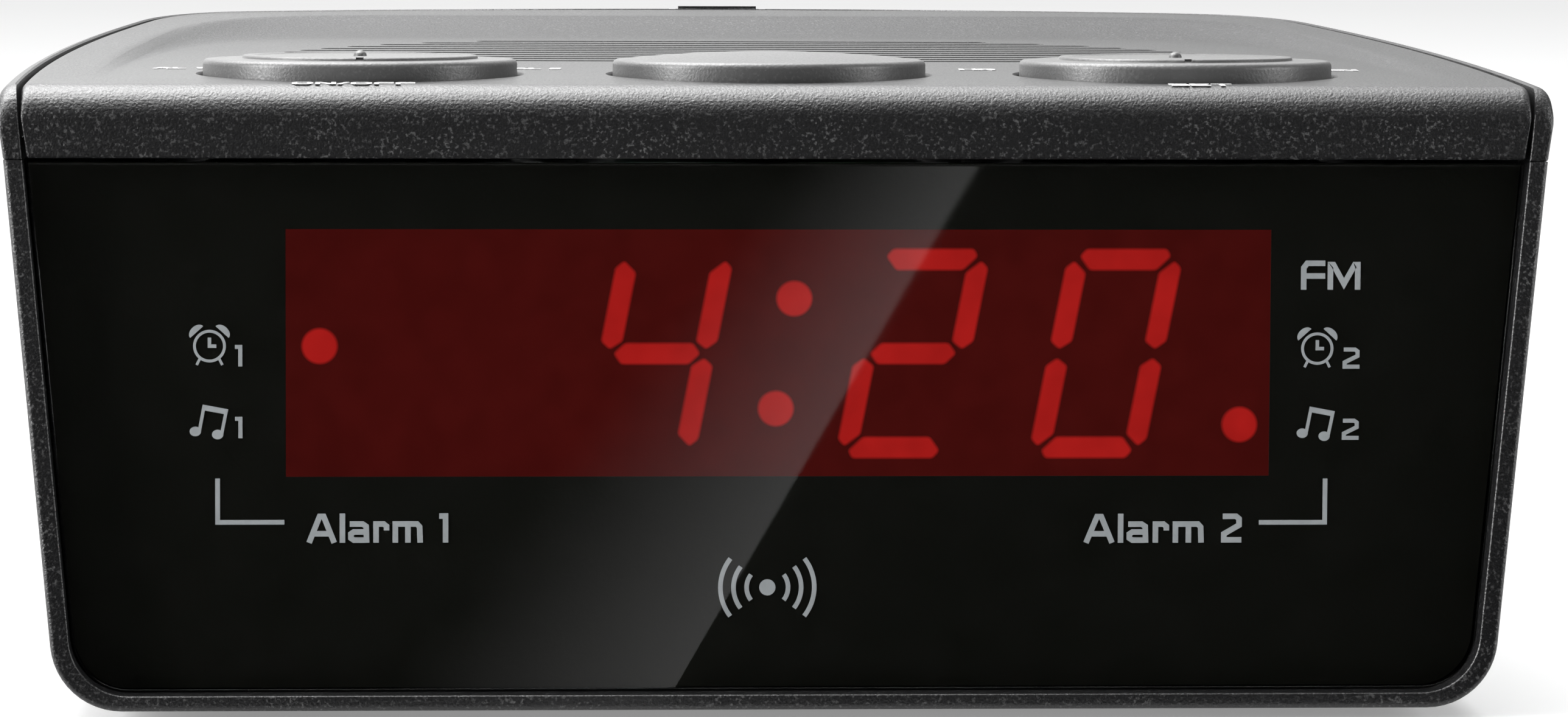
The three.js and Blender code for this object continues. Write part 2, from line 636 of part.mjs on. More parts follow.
function rubberFoot(x, y) {
  const r = FOOT_RADIUS;
  return turned([[0, 0], [r - 0.6, 0], [r, 0.5], [r, 2], [0, 2]], x, y, 20);
}

function batteryDoor() {
  const inner = BAY_HALF + 1.5;
  const rearY = FRONT + 113;
  const plate = box(-inner, inner, BAY_FRONT_Y - 1.5, rearY, BOTTOM_Z, DOOR_TOP_Z);
  const grooves = [0, 1, 2, 3].map((index) => {
    const y = rearY - 5 - index * 1.8;
    return box(-7, 7, y - 0.45, y + 0.45, 0, BOTTOM_Z + 0.6);
  });
  return cut(plate, ...grooves);
}

function wirePath(pointAt, steps) {
  const points = Array.from({ length: steps + 1 }, (unused, index) => pointAt(index / steps));
  return new THREE.CatmullRomCurve3(points);
}

function wire(path, radius, steps, sides = 6) {
  const section = new THREE.Shape();
  for (let i = 0; i < sides; i += 1) {
    const angle = (i / sides) * Math.PI * 2;
    const [u, v] = [radius * Math.cos(angle), radius * Math.sin(angle)];
    if (i === 0) {
      section.moveTo(u, v);
    } else {
      section.lineTo(u, v);
    }
  }
  section.closePath();
  return new THREE.ExtrudeGeometry(section, { steps, extrudePath: path, bevelEnabled: false });
}

function batterySpring() {
  const [x, y, z] = [-BAY_HALF + 0.6, BAY_FRONT_Y + 6, 8.6];
  const plate = box(x, x + 0.5, y - 4.8, y + 16, z - 4.4, z + 4.6);
  const coils = [0, 11.2].map((offset) => {
    const path = wirePath((t) => {
      const angle = t * Math.PI * 2 * 3;
      const r = 3.4 - 1.4 * t;
      const along = x + 0.4 + 6 * t;
      return new THREE.Vector3(along, y + offset + r * Math.cos(angle), z + r * Math.sin(angle));
    }, 36);
    return solid(wire(path, 0.35, 30, 5));
  });
  return join(plate, ...coils);
}

function batteryPlate() {
  const x = BAY_HALF - 1.1;
  const [y, z] = [BAY_FRONT_Y + 6, 8.6];
  const plate = box(x, x + 0.5, y - 4.8, y + 16, z - 4.4, z + 4.6);
  const bumps = [0, 11.2].map((offset) => rodAlongX(y + offset, z, x - 0.6, x + 0.3, 2));
  return join(plate, ...bumps);
}

function powerJack() {
  const wallY = rearWallY(JACK_X, REAR_PORT_Z);
  const bottom = MAIN_BOARD_Z + BOARD_THICKNESS + 0.3;
  const block = box(JACK_X - 4.5, JACK_X + 4.5, wallY - 18, wallY - 5, bottom, bottom + 10.6);
  const nose = rodAlongY(JACK_X, REAR_PORT_Z, wallY - 6, wallY - 0.9, 4.1, 20);
  const socket = rodAlongY(JACK_X, REAR_PORT_Z, wallY - 13, wallY, 2.8, 20);
  const pin = rodAlongY(JACK_X, REAR_PORT_Z, wallY - 13.5, wallY - 2, 0.9, 12);
  return join(cut(join(block, nose), socket), pin);
}

// Outside face of the rear wall at a point across and up the case.
function rearWallY(x, z) {
  const shrink = 1 - draftInset(z) / DEPTH;
  const across = x / (1 - draftInset(z) / HALF_WIDTH);
  return FRONT + (DEPTH - (across * across) / 400) * shrink;
}

const AERIAL_RADIUS = 0.6;
const AERIAL_STANDOFF = 2.4;
const COIL_X = 17;
const COIL_Z = 18.5;

// The wire aerial: straight out through the grommet, then wound flat against the rear wall.
function aerialWire() {
  const turns = 2.6;
  const portY = rearWallY(AERIAL_X, REAR_PORT_Z);
  const points = [-9, -5, -2, 1.4].map((out) => new THREE.Vector3(AERIAL_X, portY + out, REAR_PORT_Z));
  const steps = 64;
  for (let i = 0; i <= steps; i += 1) {
    const shrink = 1.6 * turns * (i / steps);
    const angle = 0.25 - turns * Math.PI * 2 * (i / steps);
    const x = COIL_X + (23.8 - shrink) * Math.cos(angle);
    const z = COIL_Z + (6.4 - shrink) * Math.sin(angle);
    points.push(new THREE.Vector3(x, rearWallY(x, z) + AERIAL_STANDOFF, z));
  }
  return wire(new THREE.CatmullRomCurve3(points), AERIAL_RADIUS, 90, 5);
}

function wireTie() {
  const outer = box(-2, 2, -1.5, 1.5, -8, 8);
  const inner = box(-3, 3, -1, 1, -7.4, 7.4);
  const lean = THREE.MathUtils.radToDeg(Math.atan(DRAFT));
  const y = rearWallY(COIL_X, COIL_Z) + AERIAL_STANDOFF;
  return cut(outer, inner).rotate([-lean, 0, 0]).translate([COIL_X, y, COIL_Z]);
}

function aerialGrommet() {
  const wallY = rearWallY(AERIAL_X, REAR_PORT_Z);
  const points = [[1.1, -5.4], [4.2, -5.4], [4.2, -4.4], [2.8, -4.4], [2.8, 0], [1.9, 0.8], [1.1, 0.8]];
  const profile = points.map(([r, h]) => new THREE.Vector2(r, h));
  profile.push(profile[0].clone());
  const geometry = new THREE.LatheGeometry(profile, 16);
  geometry.translate(AERIAL_X, wallY, REAR_PORT_Z);
  return solid(geometry);
}

function mainBoard() {
  const top = MAIN_BOARD_Z + BOARD_THICKNESS;
  const deck = box(-48, 48, FRONT + 12, FRONT + 79, MAIN_BOARD_Z, top);
  const wing = box(-44.5, -30.5, FRONT + 70, FRONT + 110, MAIN_BOARD_Z, top);
  const holes = MAIN_SCREW_SPOTS.map(([x, y]) => rod(x, y, 10, 20, 1.5, 12));
  return cut(join(deck, wing), ...holes);
}

// A flat flexible cable: a thin strip following [y, z] points.
function flatCable(points, x0, x1) {
  const thickness = 0.5;
  const under = points.map(([y, z]) => [y - thickness, z - thickness]).reverse();
  return alongX([...points, ...under], x0, x1);
}

// ---- assembly ----

place('lower_cabinet', lowerCabinet(), BLACK_TEXTURED);
place('upper_frame', upperFrame(), BLACK_TEXTURED);
place('top_cover', topCover(), BLACK_TEXTURED);
place('front_lens', frontLens(), LENS_BLACK);
place('lens_carrier', lensCarrier(), INNER_BLACK);
place('window_filter', windowFilter(), FILTER_RED);
place('led_display', ledDisplay(), DISPLAY_RED);
place('display_board', box(-48, 48, DISPLAY_BOARD_Y, DISPLAY_BOARD_Y + BOARD_THICKNESS, 20, 46), BOARD_GREEN);

place('left_key', tiltKey(-KEY_PITCH), KEY_BLACK);
place('left_key_pivot', keyPivot(-KEY_PITCH), KEY_BLACK);
place('right_key', tiltKey(KEY_PITCH), KEY_BLACK);
place('right_key_pivot', keyPivot(KEY_PITCH), KEY_BLACK);
place('snooze_key', snoozeKey(), KEY_BLACK);
place('key_bracket', keyBracket(), INNER_BLACK);
place('key_board', keyBoard(), BOARD_GREEN);

for (const [side, keyX] of [['left', -KEY_PITCH], ['right', KEY_PITCH]]) {
  switchSpots(keyX).forEach(([x, y], index) => {
    place(`${side}_key_switch_${SWITCH_NAMES[index]}`, tactSwitch(x, y), SWITCH_BLACK);
  });
}
place('snooze_switch', tactSwitch(0, KEY_Y), SWITCH_BLACK);

BRACKET_SCREW_XS.forEach((x, index) => {
  place(`bracket_screw_${index + 1}`, screw(x, BRACKET_SCREW_Y, KEY_BOARD_Z - 1.9, 9, 1, 1.9), STEEL);
});

place('speaker_basket', speakerBasket(), STEEL);
place('speaker_cone', speakerCone(), CONE_BLACK);
place('speaker_magnet', speakerMagnet(), FERRITE);
SPEAKER_SCREW_ANGLES.forEach((degrees, index) => {
  const [x, y] = speakerScrewSpot(degrees);
  place(`speaker_screw_${index + 1}`, screw(x, y, SPEAKER_Z - 1.5 - 1.9, 3, 0.8, 3.2), STEEL);
});

CASE_SCREW_SPOTS.forEach(([x, y], index) => {
  place(`case_screw_${index + 1}`, screw(x, y, 22, 16, 1.35, 2.8), STEEL);
});
MAIN_SCREW_SPOTS.forEach(([x, y], index) => {
  const tip = screw(x, y, 0, 9, 1, 2.2).rotate([180, 0, 0]).translate([0, 2 * y, MAIN_BOARD_Z + 3.5]);
  place(`board_screw_${index + 1}`, tip, STEEL);
});
FOOT_SPOTS.forEach(([x, y], index) => {
  place(`foot_${index + 1}`, rubberFoot(x, y), RUBBER);
});

place('battery_door', batteryDoor(), BLACK_TEXTURED);
place('battery_spring_contact', batterySpring(), SPRING_STEEL);
place('battery_plate_contact', batteryPlate(), SPRING_STEEL);
place('power_jack', powerJack(), INNER_BLACK);
place('aerial_wire', aerialWire(), WIRE_GREY);
place('aerial_grommet', aerialGrommet(), RUBBER);
place('wire_tie', wireTie(), WIRE_GREY);

const boardTop = MAIN_BOARD_Z + BOARD_THICKNESS + 0.3;
place('main_board', mainBoard(), BOARD_GREEN);
place('radio_chip', box(-20, -8, -20, -12, boardTop, boardTop + 1.8), SWITCH_BLACK);
place('clock_chip', box(6, 24, -30, -20, boardTop, boardTop + 2.2), SWITCH_BLACK);
place('supply_capacitor', rod(-30, 2, boardTop, boardTop + 12, 5, 24), plastic(0x20263a, 0.4));
place('tuning_coil', rod(-2, 4, boardTop, boardTop + 7, 3.5, 20), FERRITE);

const cableY = DISPLAY_BOARD_Y + BOARD_THICKNESS + 0.3;
const displayCablePoints = [[cableY + 0.5, 24], [cableY + 6, 24], [cableY + 9, 21], [cableY + 9, boardTop + 0.5]];
place('display_cable', flatCable(displayCablePoints, -8, 8), CABLE_GREY);
const keyCablePoints = [
  [KEY_Y + 6, KEY_BOARD_Z - 0.4], [KEY_Y + 9, KEY_BOARD_Z - 4], [KEY_Y + 12, 32], [KEY_Y + 6, boardTop + 0.5],
];
place('key_cable', flatCable(keyCablePoints, 24, 34), CABLE_GREY);
const speakerLeadPath = wirePath((t) => {
  const x = 18 + 6 * Math.sin(t * Math.PI);
  return new THREE.Vector3(x, SPEAKER_Y + 3 - 9 * t, SPEAKER_Z - 14 - (SPEAKER_Z - 15 - boardTop) * t);
}, 8);
place('speaker_lead', wire(speakerLeadPath, 0.7, 20), WIRE_GREY);

export default group;
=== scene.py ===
"""Bedside clock radio: the visual model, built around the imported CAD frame.

Lengths in this file are millimetres unless a name says otherwise; new_mesh turns them into metres.
"depth" is the distance behind the front plane, and "inset" is the distance inside the case outline.
"""
import json

import bmesh
import bpy
from math import atan, copysign, cos, pi, radians, sin, sqrt, tan
from mathutils import Matrix, Vector


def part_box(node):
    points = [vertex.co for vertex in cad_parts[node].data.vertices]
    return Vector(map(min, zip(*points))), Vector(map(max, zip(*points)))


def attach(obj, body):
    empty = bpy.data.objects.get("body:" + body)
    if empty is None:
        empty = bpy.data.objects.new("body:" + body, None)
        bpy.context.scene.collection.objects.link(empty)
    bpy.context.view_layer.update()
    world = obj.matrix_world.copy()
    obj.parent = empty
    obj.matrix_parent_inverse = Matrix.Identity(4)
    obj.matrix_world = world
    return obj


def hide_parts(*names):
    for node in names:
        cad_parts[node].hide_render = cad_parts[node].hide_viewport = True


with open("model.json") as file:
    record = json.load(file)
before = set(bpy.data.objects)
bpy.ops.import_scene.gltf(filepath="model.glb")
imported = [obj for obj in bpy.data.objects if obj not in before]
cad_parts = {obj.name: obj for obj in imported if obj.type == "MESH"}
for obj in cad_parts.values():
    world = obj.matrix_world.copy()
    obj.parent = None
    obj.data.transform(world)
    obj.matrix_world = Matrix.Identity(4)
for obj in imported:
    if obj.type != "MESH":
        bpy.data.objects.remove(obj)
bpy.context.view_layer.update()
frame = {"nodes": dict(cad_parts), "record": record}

MM = 0.001


def node_box(name):
    """Lowest and highest corner of a CAD node, in millimetres."""
    low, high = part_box(name)
    return low / MM, high / MM


def node_boxes(stem, count):
    return [node_box(f"{stem}_{i + 1}") for i in range(count)]


def centre(box):
    low, high = box
    return (low + high) / 2


# ---- Sizes: read from the frame, with the finer details named here ----

case_low, case_high = node_box("lower_cabinet")
lens_low, lens_high = node_box("front_lens")
window_low, window_high = node_box("window_filter")
display_low, display_high = node_box("led_display")
snooze_low, snooze_high = node_box("snooze_key")
left_key_low, left_key_high = node_box("left_key")

FRONT = case_low.y
DEPTH = 125.0
HALF_WIDTH = 70.7
DRAFT_HEIGHT = 57.0
DRAFT = tan(radians(5.2))
BOTTOM_Z = case_low.z
SPLIT_LOW = case_high.z
DECK_FRONT_Z = 57.9
DECK_RISE = 2.4
BROW_RADIUS = 3.0
WALL = 2.2
RIM = 1.75
SEAM = 0.4
COVER_INSET = RIM + SEAM
COVER_UNDERSIDE_Z = 56.0
SPLIT_LINE = 0.06
SCOOP_FLOOR_Z = 58.1

WINDOW_MIDDLE_Z = (window_low.z + window_high.z) / 2
KEY_PITCH = (left_key_high.x + left_key_low.x) / -2
KEY_Y = (snooze_high.y + snooze_low.y) / 2
KEY_DEPTH = KEY_Y - FRONT
KEY_RADIUS = (snooze_high.x - snooze_low.x) / 2
KEY_SKIRT_Z = 53.6
KEY_TOP_Z = 59.5
KEY_LEAN = 0.02
SWITCH_TOP_Z = node_box("snooze_switch")[1].z

LENS_FRONT_Y = lens_low.y
LENS_BACK_Y = lens_high.y
LENS_BOTTOM_Z = lens_low.z
LENS_TOP_Z = lens_high.z
DISPLAY_PLANE = display_low.y + 0.2
LIT_DEPTH = 0.05
LIT_RISE = 0.1

# ---- Materials ----


class Wiring:
    """Short ways to add nodes to a node tree and to wire them."""

    def __init__(self, tree):
        self.tree = tree

    def fill(self, node, values):
        """Sets sockets by name, and anything else as a property."""
        for key, value in values.items():
            if key in node.inputs:
                node.inputs[key].default_value = value
            else:
                setattr(node, key, value)
        return node

    def node(self, kind, **values):
        return self.fill(self.tree.nodes.new(kind), values)

    def link(self, source, target):
        self.tree.links.new(source, target)

    def ramp(self, value, low, high, out_low, out_high, curve="LINEAR"):
        mapper = self.node("ShaderNodeMapRange", interpolation_type=curve)
        self.link(value, mapper.inputs["Value"])
        self.fill(mapper, {"From Min": low, "From Max": high, "To Min": out_low, "To Max": out_high})
        return mapper.outputs["Result"]

    def maths(self, operation, a, b):
        node = self.node("ShaderNodeMath", operation=operation)
        for socket, value in zip(node.inputs, (a, b)):
            if isinstance(value, (int, float)):
                socket.default_value = value
            else:
                self.link(value, socket)
        return node.outputs[0]


class Shader(Wiring):
    """A new node material with a Principled shader."""

    def __init__(self, name, colour, roughness, metallic=0.0, specular=0.5):
        self.material = bpy.data.materials.new(name)
        self.material.use_nodes = True
        super().__init__(self.material.node_tree)
        self.shader = self.tree.nodes["Principled BSDF"]
        self.fill(self.shader, {"Base Color": (*colour, 1), "Roughness": roughness})
        self.fill(self.shader, {"Metallic": metallic, "Specular IOR Level": specular})
        self.place = self.node("ShaderNodeTexCoord").outputs["Object"]

    def texture(self, kind, size_mm, **values):
        """A procedural texture in object space with features of about this size."""
        texture = self.node(kind, Scale=1 / (size_mm * MM), **values)
        self.link(self.place, texture.inputs["Vector"])
        return texture.outputs

    def noise(self, size_mm, **values):
        return self.texture("ShaderNodeTexNoise", size_mm, **values)["Fac"]

    def mix_colour(self, factor, first, second, target="Base Color"):
        mix = self.node("ShaderNodeMix", data_type="RGBA")
        self.link(factor, mix.inputs["Factor"])
        for key, colour in (("A", first), ("B", second)):
            socket = [s for s in mix.inputs if s.name == key and s.type == "RGBA"][0]
            socket.default_value = (*colour, 1)
        colour_out = [s for s in mix.outputs if s.type == "RGBA"][0]
        self.link(colour_out, self.shader.inputs[target])

    def bump(self, height, depth_mm):
        node = self.node("ShaderNodeBump", Strength=1.0, Distance=depth_mm * MM)
        self.link(height, node.inputs["Height"])
        self.link(node.outputs["Normal"], self.shader.inputs["Normal"])

    def roughness(self, value):
        self.link(value, self.shader.inputs["Roughness"])


def grey(level):
    return (level, level, level)


def grained_plastic(name, dark, light, roughness, grain_mm, depth_mm):
    """Moulded black plastic with a fine leather grain: wrinkled cells with pale flecks on their crests,
    painted glints where light would catch the grain.
    """
    m = Shader(name, dark, roughness)
    wrinkles = m.noise(grain_mm, Detail=3, Roughness=0.6, Distortion=0.6)
    crests = {"feature": "SMOOTH_F1", "Smoothness": 0.5}
    cells = m.texture("ShaderNodeTexVoronoi", grain_mm * 1.3, **crests)["Distance"]
    height = m.maths("ADD", m.maths("MULTIPLY", wrinkles, 1.1), m.maths("MULTIPLY", cells, 0.5))
    m.bump(height, depth_mm)
    # Painted glints: pale flecks in the colour where light would catch the grain, shown more strongly in
    # some clouds than in others.
    painted_glints = m.ramp(m.noise(grain_mm * 1.3, Detail=2), 0.56, 0.7, 0, 1)
    clouds = m.ramp(m.noise(9, Detail=2), 0.35, 0.7, 0.15, 0.6)
    m.mix_colour(m.maths("MULTIPLY", painted_glints, clouds), dark, light)
    m.roughness(m.ramp(wrinkles, 0.3, 0.7, roughness - 0.06, roughness + 0.08))
    return m.material


def moulded(name, dark, light, roughness, grain_mm=0.6, depth_mm=0.02, specular=0.5):
    """Plain moulded or sprayed surface: faint mottling, faint bump."""
    m = Shader(name, dark, roughness, specular=specular)
    mottle = m.noise(grain_mm * 6, Detail=3)
    m.mix_colour(m.ramp(mottle, 0.35, 0.65, 0, 1), dark, light)
    m.bump(m.noise(grain_mm, Detail=3), depth_mm)
    m.roughness(m.ramp(mottle, 0.3, 0.7, roughness - 0.05, roughness + 0.05))
    return m.material


def worked_metal(name, dark, light, roughness):
    """Plated or pressed metal: streaked roughness and slight tarnish."""
    m = Shader(name, dark, roughness, metallic=1.0)
    mottle = m.noise(1.5, Detail=4)
    m.mix_colour(m.ramp(mottle, 0.3, 0.7, 0, 1), dark, light)
    m.roughness(m.ramp(m.noise(0.3, Detail=2), 0.3, 0.7, roughness - 0.08, roughness + 0.12))
    return m.material


def circuit_board(name):
    """Solder-masked board: green with paler copper runs under the mask."""
    m = Shader(name, (0.01, 0.07, 0.025), 0.35)
    tracks = m.texture("ShaderNodeTexBrick", 9, **{"Mortar Size": 0.045})["Fac"]
    m.mix_colour(tracks, (0.01, 0.07, 0.025), (0.05, 0.19, 0.07))
    m.bump(tracks, 0.03)
    return m.material


def glowing(name, colour, edge_colour=None):
    """Light pipe plastic: dark by itself, glowing a little unevenly and fading down its sloping border. On
    lit segments the glow is the LED's own light; on unlit faces it is a painted glow.
    """
    m = Shader(name, (0.01, 0.001, 0.001), 0.5, specular=0.1)
    mottle = m.ramp(m.noise(3, Detail=1), 0.3, 0.7, 0.9, 1.07)
    m.shader.inputs["Emission Color"].default_value = (*colour, 1)
    m.link(mottle, m.shader.inputs["Emission Strength"])
    if edge_colour:
        split = m.node("ShaderNodeSeparateXYZ")
        m.link(m.place, split.inputs[0])
        foot = (DISPLAY_PLANE - LIT_DEPTH) * MM
        level = m.ramp(split.outputs["Y"], foot, foot - LIT_RISE * MM, 0, 1)
        m.mix_colour(level, edge_colour, colour, "Emission Color")
    return m.material


def clear_sheet(name, tint, reflection):
    """Thin clear plastic: looks straight through, with a mirror reflection that grows at grazing angles."""
    m = Shader(name, tint, 0.0)
    see_through = m.node("ShaderNodeBsdfTransparent", Color=(*tint, 1))
    mirror = m.node("ShaderNodeBsdfGlossy", Roughness=0.02)
    fresnel = m.node("ShaderNodeFresnel", IOR=1.49)
    facing = m.node("ShaderNodeNewGeometry").outputs["Backfacing"]
    smudge = m.ramp(m.noise(40, Detail=2), 0.3, 0.7, reflection * 0.92, reflection)
    front_only = m.maths("MULTIPLY", smudge, m.maths("SUBTRACT", 1, facing))
    mix = m.node("ShaderNodeMixShader")
    m.link(m.maths("MULTIPLY", fresnel.outputs[0], front_only), mix.inputs[0])
    m.link(see_through.outputs[0], mix.inputs[1])
    m.link(mirror.outputs[0], mix.inputs[2])
    m.link(mix.outputs[0], m.tree.nodes["Material Output"].inputs["Surface"])
    return m.material


# The lighter grey of each grained plastic is the colour of its painted glints.
CASE = grained_plastic("case_plastic", (0.005, 0.005, 0.0055), grey(0.12), 0.34, 0.22, 0.055)
KEYS = grained_plastic("key_plastic", grey(0.065), grey(0.13), 0.4, 0.22, 0.02)
LENS = clear_sheet("lens_clear", grey(0.97), 1.0)
LENS_INK = moulded("lens_black_ink", (0.0036, 0.0040, 0.0024), (0.0040, 0.0043, 0.0027), 0.5, specular=0.1)
PRINT = moulded("lens_grey_ink", (0.29, 0.31, 0.32), (0.32, 0.34, 0.35), 0.6, specular=0.1)
DECK_PRINT = moulded("deck_white_ink", grey(0.75), grey(0.85), 0.5)
# Unlit segments and the display face are no lamp: their faint red glow is painted light, standing for room
# light that comes back out through the red filter.
PAINTED_UNLIT_GLOW = (0.058, 0.017, 0.0145)
LIT = glowing("led_lit", (0.44, 0.046, 0.040), PAINTED_UNLIT_GLOW)
UNLIT_LED_PAINTED_GLOW = glowing("led_unlit_painted_glow", PAINTED_UNLIT_GLOW)
RUBBER = moulded("rubber", grey(0.012), grey(0.022), 0.85, 0.3, 0.03)

SLOT_MATERIAL = {
    "case_plastic": CASE,
    "key_plastic": KEYS,
    "lens_plastic": LENS,
    # The CAD LED nodes take the painted unlit glow.
    "led_red": UNLIT_LED_PAINTED_GLOW,
    "rubber": RUBBER,
    "red_filter": clear_sheet("red_filter", (0.92, 0.5, 0.5), 0.0),
    "inner_plastic": moulded("inner_plastic", grey(0.012), grey(0.02), 0.6),
    "board": circuit_board("board"),
    "switch_plastic": moulded("switch_plastic", (0.012, 0.012, 0.013), grey(0.02), 0.45),
    "paper_cone": moulded("paper_cone", grey(0.014), grey(0.03), 0.85, 0.25, 0.06),
    "wire_jacket": moulded("wire_jacket", grey(0.016), grey(0.03), 0.45),
    "cable_grey": moulded("cable_grey", (0.4, 0.4, 0.39), (0.5, 0.5, 0.49), 0.55),
    "capacitor_sleeve": moulded("capacitor_sleeve", (0.01, 0.016, 0.05), (0.015, 0.022, 0.06), 0.35),
    "steel": worked_metal("steel", grey(0.45), grey(0.6), 0.32),
    "spring_steel": worked_metal("spring_steel", (0.6, 0.6, 0.58), (0.75, 0.75, 0.72), 0.22),
    "ferrite": moulded("ferrite", (0.02, 0.02, 0.022), (0.035, 0.035, 0.037), 0.6, 0.2, 0.03),
}

# ---- Mesh helpers ----


def add_object(name, data):
    obj = bpy.data.objects.new(name, data)
    bpy.context.scene.collection.objects.link(obj)
    return obj


def new_mesh(name, points, faces):
    mesh = bpy.data.meshes.new(name)
    mesh.from_pydata([Vector(point) * MM for point in points], [], faces)
    return mesh


def make_object(name, verts, faces):
    """A closed solid of points in millimetres, with its faces turned outwards."""
    mesh = new_mesh(name, verts, faces)
    bm = bmesh.new()
    bm.from_mesh(mesh)
    bmesh.ops.remove_doubles(bm, verts=bm.verts, dist=1e-7)
    bmesh.ops.recalc_face_normals(bm, faces=bm.faces)
    bm.to_mesh(mesh)
    bm.free()
    return add_object(name, mesh)


def ring_faces(rings, count):
    """Quads between neighbouring rings that have count points each."""
    faces = []
    for base in range(0, (rings - 1) * count, count):
        for j in range(count):
            k = (j + 1) % count
            faces.append((base + j, base + k, base + count + k, base + count + j))
    return faces


def stack(name, rings):
    """Closed solid through rings of equally many points, with a flat face at both ends."""
    count = len(rings[0])
    verts = [point for ring in rings for point in ring]
    ends = [tuple(range(count)), tuple(range(len(verts) - count, len(verts)))]
    return make_object(name, verts, ends + ring_faces(len(rings), count))


def apply_modifiers(obj):
    bpy.context.view_layer.update()
    graph = bpy.context.evaluated_depsgraph_get()
    source = obj.evaluated_get(graph)
    result = bpy.data.meshes.new_from_object(source, preserve_all_data_layers=True, depsgraph=graph)
    obj.modifiers.clear()
    old = obj.data
    obj.data = result
    bpy.data.meshes.remove(old)


def settle(obj, material, body="housing", replaces=(), angle=32):
    """Gives a finished piece its shading, material and body, and hides the CAD nodes that it replaces."""
    obj.data.materials.clear()
    obj.data.materials.append(material)
    obj.data.polygons.foreach_set("use_smooth", [True] * len(obj.data.polygons))
    obj.data.set_sharp_from_angle(angle=radians(angle))
    modifier = obj.modifiers.new("flat faces stay flat", "WEIGHTED_NORMAL")
    modifier.weight = 80
    modifier.keep_sharp = True
    apply_modifiers(obj)
    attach(obj, body)
    if replaces:
        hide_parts(*replaces)
    return obj


def combine(target, others, operation):
    """Adds solids to a target, cuts them from it, or keeps what they share; the solids are used up."""
    for other in others:
        modifier = target.modifiers.new("combine", "BOOLEAN")
        modifier.operation = operation
        modifier.solver = "MANIFOLD"
        modifier.object = other
        apply_modifiers(target)
        bpy.data.objects.remove(other)
    return target


def carve(target, cutters):
    return combine(target, cutters, "DIFFERENCE")


def weld(target, others):
    return combine(target, others, "UNION")


def keep(target, others):
    return combine(target, others, "INTERSECT")


def block(x0, x1, y0, y1, z0, z1):
    verts = [(x, y, z) for x in (x0, x1) for y in (y0, y1) for z in (z0, z1)]
    faces = [(0, 1, 3, 2), (4, 6, 7, 5), (0, 4, 5, 1), (2, 3, 7, 6), (0, 2, 6, 4), (1, 5, 7, 3)]
    return make_object("block", verts, faces)


def slab(front, back, z0, z1):
    """Block wider than the case, between two depths."""
    return block(-80, 80, FRONT + front, FRONT + back, z0, z1)


def turned(profile, segments, place, axis="Z"):
    """Solid of revolution of [radius, height] points that start and end on the axis."""
    angles = [2 * pi * i / segments for i in range(segments)]
    verts = [(r * cos(a), r * sin(a), height) for a in angles for r, height in profile]
    faces = []
    count = len(profile)
    for i in range(segments):
        a, b = i * count, (i + 1) % segments * count
        for j in range(count - 1):
            faces.append((a + j, b + j, b + j + 1, a + j + 1))
    if axis == "Y":
        verts = [(x, z, -y) for x, y, z in verts]
    verts = [tuple(Vector(v) + Vector(place)) for v in verts]
    obj = make_object("turned", verts, [tuple(dict.fromkeys(f)) for f in faces])
    bm = bmesh.new()
    bm.from_mesh(obj.data)
    bmesh.ops.remove_doubles(bm, verts=bm.verts, dist=1e-7)
    bmesh.ops.dissolve_degenerate(bm, edges=bm.edges, dist=1e-7)
    bm.to_mesh(obj.data)
    bm.free()
    return obj


def rod(x, y, z0, z1, radius, segments):
    return turned([(0, z0), (radius, z0), (radius, z1), (0, z1)], segments, (x, y, 0))


def posts(places, z0, z1, radius, segments=32):
    """An upright rod in the middle of each box."""
    return [rod(*centre(place).xy, z0, z1, radius, segments) for place in places]


def prism(points, y0, y1):
    """Solid with a flat outline of (x, z) points, from y0 to y1."""
    return stack("prism", [[(x, y, z) for x, z in points] for y in (y0, y1)])


# ---- The case outline ----


def bezier(start, control, end, count):
    """Points on a quadratic curve, without its first point."""
    points = []
    for i in range(1, count + 1):
        t = i / count
        a, b, c = (1 - t) ** 2, 2 * t * (1 - t), t * t
        points.append(tuple(a * start[k] + b * control[k] + c * end[k] for k in (0, 1)))
    return points


def half_outline():
    """Right half of the case outline as (x, depth), from the front corner to the middle of the rear."""
    bend, corner = 100, 118.7
    pull = 8.2
    corner_x = HALF_WIDTH - pull
    rear_x = HALF_WIDTH - 20.5
    near = [BROW_RADIUS * (1 - cos(radians(a))) for a in range(0, 91, 9)]
    near += [0.02, 0.06, 0.13, 0.22, 0.34, 0.5]
    side = bezier((HALF_WIDTH, 0), (HALF_WIDTH, bend / 2), (corner_x, bend), 80)
    points = [(HALF_WIDTH - pull * (d / bend) ** 2, d) for d in sorted(near)]
    points += [p for p in side if p[1] > BROW_RADIUS + 0.4]
    points += bezier((corner_x, bend), (corner_x - 2.4, 116.2), (rear_x, corner), 22)
    crown = bezier((rear_x, corner), (0, 131.3), (-rear_x, corner), 96)
    points += [p for p in crown if p[0] > 0.6]
    return points


HALF_OUTLINE = half_outline()


def draft_inset(z):
    """How far the case side stands inside the full outline at a height."""
    return (DRAFT_HEIGHT - z) * DRAFT


def edge_inset(depth, radius):
    """How much an edge rounding pulls a surface in near the front; a negative radius flares it out."""
    size = abs(radius)
    if depth >= size:
        return 0.0
    gap = size - max(depth, 0.0)
    return copysign(size - sqrt(size * size - gap * gap), radius)


def deck_z(depth):
    return DECK_FRONT_Z + DECK_RISE * depth / DEPTH


class Level:
    """One ring of a shell: its height, its inset, and the outward direction of the surface there."""

    def __init__(self, z, inset, tilt=False, out=1.0, up=0.0, back=0.0):
        self.z, self.inset, self.tilt = z, inset, tilt
        self.out, self.up, self.back = out, up, back


def drafted(inset, *heights):
    """Levels of a plain drafted side."""
    return [Level(z, inset + draft_inset(z)) for z in heights]


